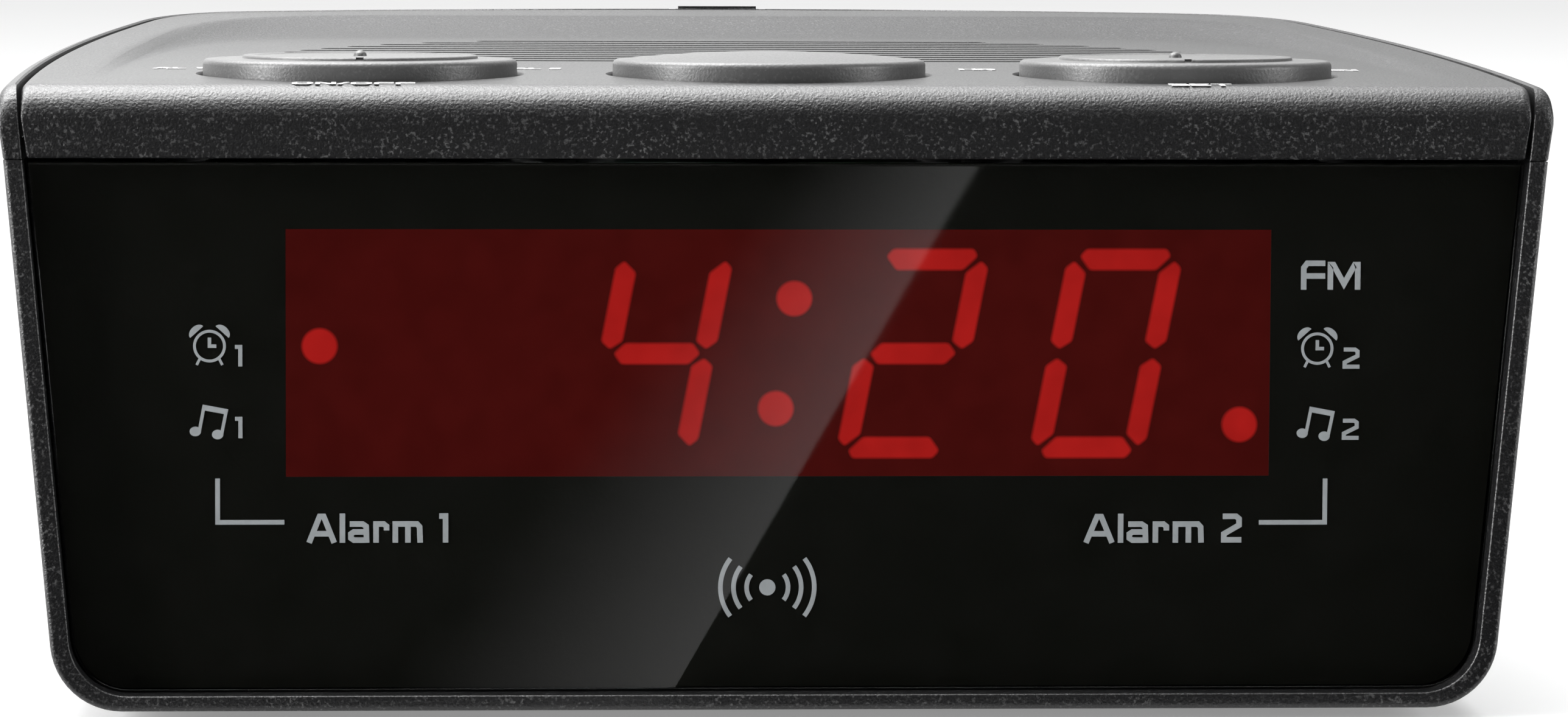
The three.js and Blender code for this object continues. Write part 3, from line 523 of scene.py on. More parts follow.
def tub_levels(inset, bottom_z, radius, top_z, steps=12):
    """A rounded bottom edge, then the drafted side."""
    lean = atan(DRAFT)
    centre_z = bottom_z + radius
    centre_inset = inset + draft_inset(centre_z) + radius / cos(lean)
    levels = []
    for i in range(steps + 1):
        angle = -pi / 2 + (pi / 2 - lean) * i / steps
        z = centre_z + radius * sin(angle)
        out, up = cos(angle), sin(angle)
        levels.append(Level(z, centre_inset - radius * out, False, out, up))
    foot = levels[-1].z
    return levels + drafted(inset, *(foot + (top_z - foot) * i / 4 for i in range(1, 5)))


def cap_levels(inset, bottom_z, radius, foot=0.2):
    """A drafted side with an eased lower edge, ending in a rounded edge on the tilted deck."""
    levels = []
    for i in range(4):
        angle = pi / 2 * i / 3
        ease = foot * (1 - sin(angle))
        z = bottom_z + foot * (1 - cos(angle))
        levels.append(Level(z, inset + draft_inset(z) + ease, back=ease))
    for i in range(9):
        angle = pi / 2 * i / 8
        z = DECK_FRONT_Z - radius + radius * sin(angle)
        out = cos(angle)
        levels.append(Level(z, inset + draft_inset(z) + radius * (1 - out), True, out))
    return levels


def shell_point(x, depth, level, front_edge, brow):
    pull = edge_inset(depth, front_edge)
    inset = level.inset + pull * level.out
    px = x * (1 - inset / HALF_WIDTH)
    pd = depth * (1 - inset / DEPTH) if depth > 0 else depth
    pz = level.z - pull * level.up
    if level.tilt:
        pz += DECK_RISE * depth / DEPTH - edge_inset(depth, brow)
    if depth < 4:
        pd += level.back * (1 - depth / 4)
    return (px, FRONT + pd, pz)


def shell(name, levels, front_edge=0.0, brow=0.0, margin=0.0, surface=None):
    """Closed solid through the levels. A surface function gives the top a fine grid with that height."""
    side = HALF_OUTLINE
    if margin:
        side = [(side[0][0], -margin)] + side
    count = len(side)
    verts = []
    for level in levels:
        verts += [shell_point(x, d, level, front_edge, brow) for x, d in side]
        verts += [shell_point(-x, d, level, front_edge, brow) for x, d in reversed(side)]
    ring = 2 * count
    faces = ring_faces(len(levels), ring)
    top = (len(levels) - 1) * ring

    def left(base, row):
        return base + ring - 1 - row

    for row in range(count - 1):
        faces.append((row, row + 1, left(0, row + 1), left(0, row)))
    if surface is None:
        for row in range(count - 1):
            faces.append((top + row, top + row + 1, left(top, row + 1), left(top, row)))
        return make_object(name, verts, faces)
    columns = 132
    first_fine = next(i for i, p in enumerate(side) if p[1] > BROW_RADIUS + 0.3)
    rows = []
    for row in range(count):
        ends = (left(top, row), top + row)
        if row < first_fine or row == count - 1:
            rows.append(list(ends))
            continue
        x_end, y_row, _ = verts[ends[1]]
        middle = []
        for column in range(1, columns):
            x = x_end * (2 * column / columns - 1)
            middle.append(len(verts))
            verts.append((x, y_row, surface(x, y_row - FRONT)))
        rows.append([ends[0]] + middle + [ends[1]])
    for near, far in zip(rows, rows[1:]):
        if len(near) == len(far) > 2:
            faces += [(near[j], near[j + 1], far[j + 1], far[j]) for j in range(columns)]
        else:
            faces.append(tuple(near + far[::-1]))
    return make_object(name, verts, faces)


# ---- Lower cabinet, upper frame and top cover ----

CASE_SCREWS = node_boxes("case_screw", 4)
BOARD_SCREWS = node_boxes("board_screw", 3)
FEET = node_boxes("foot", 4)
DOOR_LOW, DOOR_HIGH = node_box("battery_door")
MAIN_BOARD_Z = node_box("main_board")[0].z
BAY_DEPTHS = (84.5, 107.5)
BAY_HALF = 25.5
BAY_TOP_Z = 14.2
PORT_Z = 23.6
POCKET_FLARE = -0.22
MOUTH = 4


def lower_cabinet():
    outside = shell("lower_cabinet", tub_levels(0, BOTTOM_Z, 6.5, SPLIT_LOW), front_edge=0.55)
    cavity = shell("cavity", tub_levels(WALL, BOTTOM_Z + WALL, 5, SPLIT_LOW + 2), margin=MOUTH)
    pocket_levels = tub_levels(RIM, LENS_BOTTOM_Z - SEAM, 5.4, SPLIT_LOW + 2)
    pocket = shell("pocket", pocket_levels, front_edge=POCKET_FLARE, margin=MOUTH)
    keep(pocket, [slab(-6, 5, 0, 60)])
    carve(outside, [cavity, pocket])
    inside = shell("inside", tub_levels(0.5, BOTTOM_Z + 0.5, 6.5, SPLIT_LOW - 1))
    y0, y1 = (FRONT + depth for depth in BAY_DEPTHS)
    fittings = block(-BAY_HALF - 1.5, BAY_HALF + 1.5, y0 - 1.5, y1 + 1.5, 2, BAY_TOP_Z + 1.2)
    weld(fittings, [block(-BAY_HALF - 4, BAY_HALF + 4, y0 - 4, y1 + 3, 2, 5)])
    weld(fittings, posts(CASE_SCREWS, 2.5, 30, 3.6))
    weld(fittings, posts(BOARD_SCREWS, 2.5, MAIN_BOARD_Z - 0.3, 3))
    weld(outside, [keep(fittings, [inside])])
    screw_hole = [(0, -1), (3.6, -1), (3.2, 1.4), (3.2, 26), (1.7, 26), (1.7, 31), (0, 31)]
    cutters = [turned(screw_hole, 40, (*centre(s).xy, 0)) for s in CASE_SCREWS]
    cutters += posts(BOARD_SCREWS, 6, MAIN_BOARD_Z, 1.3, 16)
    foot_radius = (FEET[0][1].x - FEET[0][0].x) / 2
    cutters += posts(FEET, 0, 2.3, foot_radius + 0.3, 48)
    cutters.append(block(-BAY_HALF, BAY_HALF, y0, y1, 0, BAY_TOP_Z))
    seat = 0.3
    low, high = DOOR_LOW, DOOR_HIGH
    cutters.append(block(low.x - seat, high.x + seat, low.y - seat, FRONT + DEPTH, 0, high.z + seat))
    for node, radius in (("power_jack", 4.5), ("aerial_grommet", 3.2)):
        port = [(0, 45), (radius, 45), (radius, 70), (0, 70)]
        cutters.append(turned(port, 40, (centre(node_box(node)).x, 0, PORT_Z), "Y"))
    carve(outside, cutters)
    return settle(outside, CASE, replaces=["lower_cabinet"])


def upper_frame():
    foot_z = SPLIT_LOW + SPLIT_LINE
    band = shell("upper_frame", cap_levels(0, foot_z, 1.7), front_edge=0.5, brow=BROW_RADIUS)
    levels = [Level(53.1, RIM + draft_inset(53.1)), Level(57.4, RIM + draft_inset(57.4), True)]
    levels += [Level(57.75, RIM - 0.06, True), Level(57.95, RIM - 0.3, True), Level(64, RIM - 0.5, True)]
    pocket = shell("pocket", levels, front_edge=POCKET_FLARE, margin=MOUTH)
    brow_slot = shell("brow_slot", drafted(RIM, 50, 54), front_edge=POCKET_FLARE, margin=MOUTH)
    keep(brow_slot, [slab(-5, 2.7, 40, 60)])
    hole = keep(shell("hole", drafted(5.5, 50, 54)), [slab(5, 140, 40, 60)])
    rear_z = DECK_FRONT_Z + DECK_RISE
    tab_y = FRONT + DEPTH - RIM
    notches = [block(x, x + 0.7, tab_y - 0.5, tab_y + 3, rear_z - 1, rear_z + 1) for x in (-5.2, 4.5)]
    carve(band, [pocket, brow_slot, hole] + notches)
    weld(band, [block(-4.2, 4.2, tab_y + 0.2, tab_y + 1.35, rear_z - 3, rear_z + 0.25)])
    return settle(band, CASE, replaces=["upper_frame"])


def gauge(x, depth, width, shrink, length, power):
    """Below 1 inside a rounded oblong that narrows to the rear, 1 on its outline."""
    half = width - shrink * depth * depth
    return ((abs(x) / half) ** power + (max(depth, 0) / length) ** power) ** (1 / power)


LIP_START, LIP_END = 0.92, 1.08
LIP_FOOT = 0.836


def wall_rise(t):
    """Share of the scoop wall's height: easing out of the floor, steep near the rim, with a small lip."""
    if t <= 0:
        return 0.0
    if t >= LIP_END:
        return 1.0
    if t > LIP_START:
        lip = (t - LIP_START) / (LIP_END - LIP_START)
        return LIP_FOOT + (1 - LIP_FOOT) * (1 - (1 - lip) ** 2)
    return LIP_FOOT * (t / LIP_START) ** 1.75


def deck_surface(x, depth):
    """Height of the deck: the tilted rim, falling into the level floor of the scoop."""
    rim = deck_z(depth)
    if rim <= SCOOP_FLOOR_Z:
        return rim
    floor = gauge(x, depth, 62.5, 0.00115, 98.3, 10)
    wall = gauge(x, depth, 62.7, 0.00074, 110, 10)
    t = (floor - 1) / (floor - wall)
    return SCOOP_FLOOR_Z + (rim - SCOOP_FLOOR_Z) * wall_rise(t)


GRILLE_SLOTS = 11
GRILLE_PITCH = 4.4
GRILLE_DEPTH = 47.0


def grille_cutter(index):
    """A slot across the floor, with eased upper edges and rounded ends."""
    y = FRONT + GRILLE_DEPTH + index * GRILLE_PITCH
    along = (index * GRILLE_PITCH - 4) / 48
    half = 47.8 * sqrt(1 - along * along)
    width = 0.85
    top = SCOOP_FLOOR_Z
    levels = [(50, 0), (top - 0.04, 0), (top - 0.01, 0.01), (top + 0.05, 0.04), (64, 0.04)]
    rings = []
    arc = 6
    for z, flare in levels:
        radius = width + flare
        ring = []
        for side in (1, -1):
            for i in range(arc + 1):
                angle = pi * (i / arc - 0.5) + (0 if side > 0 else pi)
                x = side * (half - width) + radius * cos(angle)
                ring.append((x, y + radius * sin(angle), z))
        rings.append(ring)
    return stack("slot", rings)


def top_cover():
    brow_bottom = LENS_TOP_Z + SEAM
    levels = cap_levels(COVER_INSET, brow_bottom, 0.8, foot=0.22)
    cover = shell("top_cover", levels, front_edge=0.3, brow=BROW_RADIUS, surface=deck_surface)
    cavity = shell("cavity", drafted(COVER_INSET + 2, 40, COVER_UNDERSIDE_Z))
    keep(cavity, [slab(2, 140, 30, COVER_UNDERSIDE_Z)])
    skirt = keep(shell("skirt", drafted(0, 40, 53.4)), [slab(2, 140, 30, 53.4)])
    carve(cover, [cavity, skirt])
    boss_top = COVER_UNDERSIDE_Z + 0.5
    bracket_screws = node_boxes("bracket_screw", 4)
    speaker_screws = node_boxes("speaker_screw", 3)
    weld(cover, posts(CASE_SCREWS, 30.4, boss_top, 2.8))
    weld(cover, posts(bracket_screws, 50.2, boss_top, 2.2))
    weld(cover, posts(speaker_screws, 54.2, boss_top, 1.9))
    top = deck_z(KEY_DEPTH) - 0.15
    well = [(0, 50), (15, 50), (15, top - 0.45), (15.08, top - 0.2), (15.3, top)]
    well += [(15.6, top + 0.6), (15.6, 64), (0, 64)]
    holes = [turned(well, 128, (x, KEY_Y, 0)) for x in (-KEY_PITCH, 0, KEY_PITCH)]
    holes += posts(bracket_screws, 49, 55.5, 1.3, 16)
    holes += posts(CASE_SCREWS, 30, 42, 1.7, 16)
    holes += posts(speaker_screws, 53, 55.5, 1.1, 16)
    carve(cover, holes + [grille_cutter(i) for i in range(GRILLE_SLOTS)])
    return settle(cover, CASE, replaces=["top_cover"], angle=40)


# ---- Front lens with its printed back ----


def face_outline(levels):
    """Front view of a shell at the front plane, as (x, z) points."""
    right = [(HALF_WIDTH * (1 - level.inset / HALF_WIDTH), level.z) for level in levels]
    return right + [(-x, z) for x, z in reversed(right)]


def shrink_outline(points, amount):
    """Moves each point of a convex outline inwards by about the same distance."""
    moved = []
    count = len(points)
    for i, (x, z) in enumerate(points):
        before, after = points[i - 1], points[(i + 1) % count]
        edges = []
        for (ax, az), (bx, bz) in ((before, (x, z)), ((x, z), after)):
            edge = Vector((bx - ax, bz - az)).normalized()
            edges.append(Vector((-edge.y, edge.x)))
        normal = (edges[0] + edges[1]).normalized()
        scale = amount / max(normal.dot(edges[0]), 0.3)
        moved.append((x + normal.x * scale, z + normal.y * scale))
    return moved


def plate(name, outline, y_front, y_back, edge, steps=4):
    """Flat sheet with an eased front edge."""
    rings = [(y_back, 0)]
    for i in range(steps + 1):
        angle = pi / 2 * i / steps
        rings.append((y_front + edge * (1 - sin(angle)), edge * (1 - cos(angle))))
    return stack(name, [[(x, y, z) for x, z in shrink_outline(outline, inset)] for y, inset in rings])


def front_lens():
    levels = tub_levels(COVER_INSET, LENS_BOTTOM_Z, 5, LENS_TOP_Z)
    lens = plate("front_lens", face_outline(levels), LENS_FRONT_Y, LENS_BACK_Y, 0.25)
    return settle(lens, LENS, replaces=["front_lens"])


def lens_print():
    """The black ink on the back of the lens, open at the window and just covering the filter's left edge."""
    levels = tub_levels(COVER_INSET + 0.05, LENS_BOTTOM_Z + 0.05, 5, LENS_TOP_Z - 0.05)
    ink = prism(face_outline(levels), LENS_BACK_Y + 0.12, LENS_BACK_Y + 0.22)
    ink.name = "lens_print"
    overlap = 0.3
    y0, y1 = LENS_BACK_Y - 1, LENS_BACK_Y + 1
    carve(ink, [block(window_low.x + overlap, window_high.x, y0, y1, window_low.z, window_high.z)])
    return settle(ink, LENS_INK)


# ---- LED display ----

DIGIT_HALF_HEIGHT = 9.6
DIGIT_HALF_WIDTH = 5.3
DIGIT_SLANT = tan(radians(10.9))
BAR = 1.92
DISPLAY_Z = WINDOW_MIDDLE_Z - 0.2
DOT_RADIUS = 1.6
BARS_OF = {" ": "", "0": "abcdef", "2": "abdeg", "4": "bcfg"}
GLOW_EDGE = 0.16


def front_areas(node):
    """Size and middle, both as (x, z), of each separate flat area on a CAD node's front, left to right."""
    bm = bmesh.new()
    bm.from_mesh(frame["nodes"][node].data)
    bmesh.ops.remove_doubles(bm, verts=bm.verts, dist=1e-6)
    front = min(v.co.y for v in bm.verts) + 1e-5
    faces = {face for face in bm.faces if all(v.co.y < front for v in face.verts)}
    areas = []
    while faces:
        reached = [faces.pop()]
        for face in reached:
            near = {other for v in face.verts for other in v.link_faces} & faces
            faces -= near
            reached += near
        xs, zs = ([v.co[axis] / MM for face in reached for v in face.verts] for axis in (0, 2))
        size = (max(xs) - min(xs), max(zs) - min(zs))
        areas.append((size, ((max(xs) + min(xs)) / 2, (max(zs) + min(zs)) / 2)))
    bm.free()
    return sorted(areas, key=lambda area: area[1])


def digit_centres():
    """Where the CAD display has the middle bars of its digits."""
    found = front_areas("led_display")
    return [x for (wide, tall), (x, z) in found if wide > 2 * tall and abs(z - WINDOW_MIDDLE_Z) < 1]


def dot_centres():
    """Where the CAD display has its round dots."""
    return [place for (wide, tall), place in front_areas("led_display") if abs(wide - tall) < 0.1]


def bar_outline(name):
    """Blunt mitred outline of one bar in an upright digit centred on 0, 0."""
    w, h = DIGIT_HALF_WIDTH, DIGIT_HALF_HEIGHT
    if name in "ad":
        sign = 1 if name == "a" else -1
        right = [(w - 1.6, h), (w - 1.15, h - 0.68), (w - 2.25, h - BAR)]
        return [(x, z * sign) for x, z in right + [(-x, z) for x, z in reversed(right)]]
    if name == "g":
        return [(3.1, 0.95), (3.92, 0), (3.1, -0.95), (-3.1, -0.95), (-3.92, 0), (-3.1, 0.95)]
    side = 1 if name in "bc" else -1
    top = 1 if name in "bf" else -1
    points = [(w - 0.68, h - 1.12), (w, h - 1.75), (w, 1.14)]
    points += [(w - 0.9, 0.43), (w - BAR, 1.14), (w - BAR, h - 2.2)]
    return [(x * side, z * top) for x, z in points]


def rounded_outline(points, radius, steps=3):
    """Cuts each corner of an outline with a small arc."""
    result = []
    count = len(points)
    for i, point in enumerate(points):
        here = Vector(point)
        before = (Vector(points[i - 1]) - here).normalized() * radius
        after = (Vector(points[(i + 1) % count]) - here).normalized() * radius
        for k in range(steps + 1):
            t = k / steps
            result.append(tuple(here + before * (1 - t) ** 2 + after * t ** 2))
    return result


def glow_solid(outline):
    """Low raised solid whose sloping border is where its light fades."""
    area = sum(a[0] * b[1] - b[0] * a[1] for a, b in zip(outline, outline[1:] + outline[:1]))
    if area < 0:
        outline = outline[::-1]
    outer = shrink_outline(outline, -GLOW_EDGE)
    inner = shrink_outline(outline, GLOW_EDGE)
    rings = [(outer, 0.02), (outer, LIT_DEPTH), (inner, LIT_DEPTH + LIT_RISE)]
    return stack("glow", [[(x, DISPLAY_PLANE - proud, z) for x, z in ring] for ring, proud in rings])


def circle(x, z, radius, steps, squash=1.0):
    """Points round a circle in the front view."""
    angles = [2 * pi * i / steps for i in range(steps)]
    return [(x + radius * cos(a), z + radius * squash * sin(a)) for a in angles]


def lit_bar(centre_x, name):
    outline = []
    for x, z in bar_outline(name):
        outline.append((centre_x + x + z * DIGIT_SLANT, DISPLAY_Z + z))
    return glow_solid(rounded_outline(outline, 0.3))


def merge(name, objects):
    """Joins separate solids into one piece."""
    bm = bmesh.new()
    for obj in objects:
        bm.from_mesh(obj.data)
        bpy.data.objects.remove(obj)
    mesh = bpy.data.meshes.new(name)
    bm.to_mesh(mesh)
    bm.free()
    return add_object(name, mesh)


def led_display():
    low, high = display_low, display_high
    spread = 0.12
    body = block(low.x - spread, high.x + spread, DISPLAY_PLANE, high.y, low.z - spread, high.z + spread)
    body.name = "led_display"
    # The display face takes the painted unlit glow.
    settle(body, UNLIT_LED_PAINTED_GLOW, replaces=["led_display"])
    lit = []
    for x, figure in zip(digit_centres(), " 420"):
        lit += [lit_bar(x, name) for name in BARS_OF[figure]]
    settle(merge("lit_bars", lit), LIT, angle=80)
    dots = [glow_solid(circle(x, z, DOT_RADIUS, 40)) for x, z in dot_centres()]
    settle(merge("lit_dots", dots), LIT, angle=80)


# ---- Printed marks ----

INK_THICKNESS = 0.05
PRINT_Y = LENS_BACK_Y + 0.1


def ink(points):
    """A flat mark of (x, z) points on the back of the lens."""
    return prism(points, PRINT_Y - INK_THICKNESS, PRINT_Y)


def ink_stroke(points, width, closed=False):
    """A ribbon of even width along (x, z) points, mitred at the bends."""
    count = len(points)
    outer, inner = [], []
    for i, point in enumerate(points):
        here = Vector(point)
        ways = []
        if closed or i > 0:
            ways.append((here - Vector(points[i - 1])).normalized())
        if closed or i < count - 1:
            ways.append((Vector(points[(i + 1) % count]) - here).normalized())
        normals = [Vector((-way.y, way.x)) for way in ways]
        normal = sum(normals, Vector((0, 0))).normalized()
        reach = width / 2 / max(normal.dot(normals[0]), 0.4)
        outer.append(tuple(here + normal * reach))
        inner.append(tuple(here - normal * reach))
    verts = []
    for pair in zip(outer, inner):
        verts += [(x, y, z) for x, z in pair for y in (PRINT_Y - INK_THICKNESS, PRINT_Y)]
    faces = []
    for i in range(count if closed else count - 1):
        a, b = 4 * i, 4 * ((i + 1) % count)
        faces += [(a + j, b + j, b + k, a + k) for j, k in ((0, 1), (1, 3), (3, 2), (2, 0))]
    if not closed:
        last = 4 * (count - 1)
        faces += [(0, 1, 3, 2), (last, last + 1, last + 3, last + 2)]
    return make_object("stroke", verts, faces)


def ink_arc(x, z, radius, width, start, end, steps=24):
    """Part of a ring, with its angles in degrees from the right, counter-clockwise."""
    angles = [radians(start + (end - start) * i / steps) for i in range(steps + 1)]
    return ink_stroke([(x + radius * cos(a), z + radius * sin(a)) for a in angles], width)


# Stroke letters: width, then the strokes as points in units of the capital height, baseline at 0.
STEM = 0.19
GLYPHS = {
    "A": (1.06, [[(0.1, 0), (0.46, 0.9), (0.6, 0.9), (0.96, 0)], [(0.26, 0.31), (0.8, 0.31)]]),
    "E": (0.82, [[(0.8, 0.905), (0.1, 0.905), (0.1, 0.095), (0.8, 0.095)], [(0.15, 0.5), (0.7, 0.5)]]),
    "F": (0.86, [[(0.1, 0), (0.1, 0.75), (0.22, 0.905), (0.84, 0.905)], [(0.15, 0.47), (0.84, 0.47)]]),
    "H": (0.9, [[(0.1, 0), (0.1, 1)], [(0.15, 0.5), (0.73, 0.5)], [(0.78, 0), (0.78, 1)]]),
    "I": (0.22, [[(0.1, 0), (0.1, 1)]]),
    "L": (0.76, [[(0.1, 1), (0.1, 0.095), (0.74, 0.095)]]),
    "M": (1.14, [[(0.1, 0), (0.1, 0.86), (0.2, 0.86), (0.57, 0.2), (0.94, 0.86), (1.04, 0.86), (1.04, 0)]]),
    "N": (0.9, [[(0.1, 0), (0.1, 0.88), (0.2, 0.88), (0.68, 0.12), (0.78, 0.12), (0.78, 1)]]),
    "O": (0.94, [[(0.22, 0.095), (0.68, 0.095), (0.8, 0.24), (0.8, 0.76), (0.68, 0.905), (0.22, 0.905),
                  (0.1, 0.76), (0.1, 0.24), (0.22, 0.095)]]),
    "R": (0.86, [[(0.1, 0), (0.1, 0.905), (0.66, 0.905), (0.74, 0.8), (0.74, 0.5), (0.66, 0.4), (0.15, 0.4)],
                 [(0.5, 0.4), (0.76, 0)]]),
    "S": (0.8, [[(0.06, 0.095), (0.7, 0.095), (0.7, 0.5), (0.1, 0.5), (0.1, 0.905), (0.74, 0.905)]]),
    "T": (0.84, [[(0.0, 0.905), (0.84, 0.905)], [(0.42, 0), (0.42, 0.85)]]),
    "a": (0.8, [[(0.06, 0.64), (0.5, 0.64), (0.62, 0.56), (0.64, 0)],
                [(0.6, 0.37), (0.2, 0.37), (0.1, 0.3), (0.1, 0.16), (0.2, 0.09), (0.6, 0.09)]]),
    "l": (0.25, [[(0.12, 0), (0.12, 1)]]),
    "m": (1.06, [[(0.1, 0), (0.1, 0.64), (0.84, 0.64), (0.93, 0.54), (0.95, 0)], [(0.53, 0), (0.53, 0.6)]]),
    "r": (0.6, [[(0.1, 0), (0.1, 0.64), (0.36, 0.64), (0.46, 0.56), (0.46, 0.42)]]),
    "1": (0.34, [[(0.0, 0.91), (0.22, 0.91), (0.22, 0)]]),
    "2": (0.72, [[(0.06, 0.905), (0.5, 0.905), (0.6, 0.82), (0.6, 0.6), (0.1, 0.3), (0.1, 0.095),
                  (0.68, 0.095)]]),
    "/": (0.5, [[(0.06, 0), (0.42, 1)]]),
    " ": (0.42, []),
}


def stroke_text(name, text, height, width, place, turn=0.0, material=PRINT):
    """Square-cut lettering built from even strokes; place is its left foot, turn leans it about X."""
    gap = 0.06
    natural = sum(GLYPHS[letter][0] + gap for letter in text) - gap
    stretch = width / natural
    letters = []
    cursor = 0
    for letter in text:
        advance, lines = GLYPHS[letter]
        strokes = []
        for line in lines:
            points = [(cursor + x * stretch, z * height) for x, z in line]
            closed = line[0] == line[-1]
            strokes.append(ink_stroke(points[:-1] if closed else points, STEM * height, closed))
        if strokes:
            letters.append(weld(strokes[0], strokes[1:]))
        cursor += (advance + gap) * stretch
    obj = merge(name, letters)
    to_place = Matrix.Translation(Vector(place) * MM)
    obj.data.transform(to_place @ Matrix.Rotation(turn, 4, "X") @ Matrix.Translation((0, -PRINT_Y * MM, 0)))
    return settle(obj, material)


def lens_mark(name, parts):
    """Welds the strokes of a mark into one piece on the back of the lens."""
    mark = weld(parts[0], parts[1:])
    mark.name = name
    return settle(mark, PRINT)


def alarm_mark(name, x, z):
    """A small round clock with two bells, hands and feet."""
    parts = [ink_stroke(circle(x, z, 1.36, 40), 0.26, True)]
    parts.append(ink_stroke([(x, z + 0.78), (x, z), (x + 0.62, z)], 0.32))
    for side in (-1, 1):
        tilt = radians(90 - side * 42)
        c, s = cos(tilt), sin(tilt)
        dome = []
        for i in range(13):
            turn = pi * (i / 12 - 0.5)
            across, out = 0.8 * sin(turn), 1.72 + 0.56 * cos(turn)
            dome.append((x + out * c - across * s, z + out * s + across * c))
        parts.append(ink(dome))
        parts.append(ink_stroke([(x + side * 0.85, z - 1.1), (x + side * 1.16, z - 1.72)], 0.24))
    return lens_mark(name, parts)


def note_mark(name, x, z):
    """Two joined quavers leaning to the right."""
    beam = [(x - 0.36, z + 1.3), (x + 1.66, z + 0.92)]
    parts = [ink_stroke([(x - 0.8, z - 1.0)] + beam + [(x + 1.22, z - 1.28)], 0.3)]
    parts.append(ink([(x - 0.4, z + 0.95), (x + 1.6, z + 0.57)] + beam[::-1]))
    for head_x, head_z in ((x - 1.15, z - 0.98), (x + 0.87, z - 1.26)):
        parts.append(ink(circle(head_x, head_z, 0.52, 20, 0.85)))
    return lens_mark(name, parts)


def radio_mark(name, x, z):
    """Plain broadcasting arcs on both sides of a dot."""
    parts = [ink(circle(x, z, 0.75, 20))]
    for radius in (1.9, 3.1, 4.3):
        parts.append(ink_arc(x, z, radius, 0.42, -38, 38))
        parts.append(ink_arc(x, z, radius, 0.42, 142, 218))
    return lens_mark(name, parts)


def lens_marks():
    """The words and signs on the lens, each placed from the nearest edges of the window."""
    left, right = window_low.x, window_high.x
    below, above = window_low.z, window_high.z
    stroke_text("band_label", "FM", 2.68, 5.5, (right + 2.75, PRINT_Y, above - 5.49))
    stroke_text("alarm_1_label", "Alarm 1", 2.68, 13.0, (left + 2.13, PRINT_Y, below - 6.03))
    stroke_text("alarm_2_label", "Alarm 2", 2.68, 14.7, (right - 17.06, PRINT_Y, below - 6.16))
    for side, figure, figure_width, line_x, line_end, line_top, line_foot, mark_x, lift in (
        ("left", "1", 0.75, left - 5.9, left + 0.15, below - 0.13, below - 4.14, left - 6.6, 0.65),
        ("right", "2", 1.7, right + 5.2, right - 0.87, below - 0.26, below - 4.3, right + 4.34, 0.4),
    ):
        bracket = [(line_x, line_top), (line_x, line_foot), (line_end, line_foot)]
        lens_mark(f"{side}_bracket_line", [ink_stroke(bracket, 0.43)])
        mark_z = WINDOW_MIDDLE_Z + lift
        alarm_mark(f"{side}_alarm_mark", mark_x, mark_z)
        note_mark(f"{side}_note_mark", mark_x - 0.15, mark_z - 6.8)
        for mark, fall in (("alarm", 1.85), ("note", 8.4)):
            place = (mark_x + 2.3, PRINT_Y, mark_z - fall)
            stroke_text(f"{side}_{mark}_figure", figure, 1.95, figure_width, place)
    radio_mark("radio_mark", -0.9, below - 10.2)


def deck_marks():
    """Small function words on the deck, placed from the middle of the side key that they belong to."""
    for text, key, rightwards, behind, height, width in (
        ("ON/OFF", -1, -0.5, -17.8, 2.3, 11.2),
        ("SET", 1, 0.5, -17.8, 2.3, 5.8),
        ("AL 1", -1, -17.2, 8.2, 2.4, 4.6),
        ("AL 2", -1, 16.6, 8.2, 2.4, 4.6),
        ("HR", 1, -17.8, 8.2, 2.4, 3.4),
        ("MIN", 1, 16.1, 8.2, 2.4, 4.8),
    ):
        name = text.replace("/", "_").replace(" ", "_").lower() + "_label"
        x, depth = key * KEY_PITCH + rightwards, KEY_DEPTH + behind
        near_z, far_z = deck_surface(x, depth), deck_surface(x, depth + height)
        place = (x - width / 2, FRONT + depth, near_z + 0.02)
        turn = atan((far_z - near_z) / height) - pi / 2
        stroke_text(name, text, height, width, place, turn, DECK_PRINT)


# ---- Keys ----


def key_profile(crown):
    r = KEY_RADIUS
    inner_top = KEY_TOP_Z - 1.5
    outer = [(r - 0.15, KEY_SKIRT_Z), (r, KEY_SKIRT_Z + 0.15), (r, KEY_TOP_Z - 1.4)]
    radius = 0.5
    for i in range(9):
        angle = pi / 2 * i / 8
        outer.append((r - radius + radius * cos(angle), KEY_TOP_Z - radius + radius * sin(angle)))
    inner = [(0, inner_top), (r - 1.8, inner_top), (r - 1.4, inner_top - 0.4), (r - 1.4, KEY_SKIRT_Z)]
    return inner + outer + crown


def lean_top(obj):
    """Lets a key's top fall a little towards the rear, while its skirt and underside stay put."""
    start = KEY_TOP_Z - 1.4
    for vertex in obj.data.vertices:
        share = min(max((vertex.co.z / MM - start) / (KEY_TOP_Z - start), 0), 1)
        vertex.co.z += share * KEY_LEAN * (KEY_Y * MM - vertex.co.y)


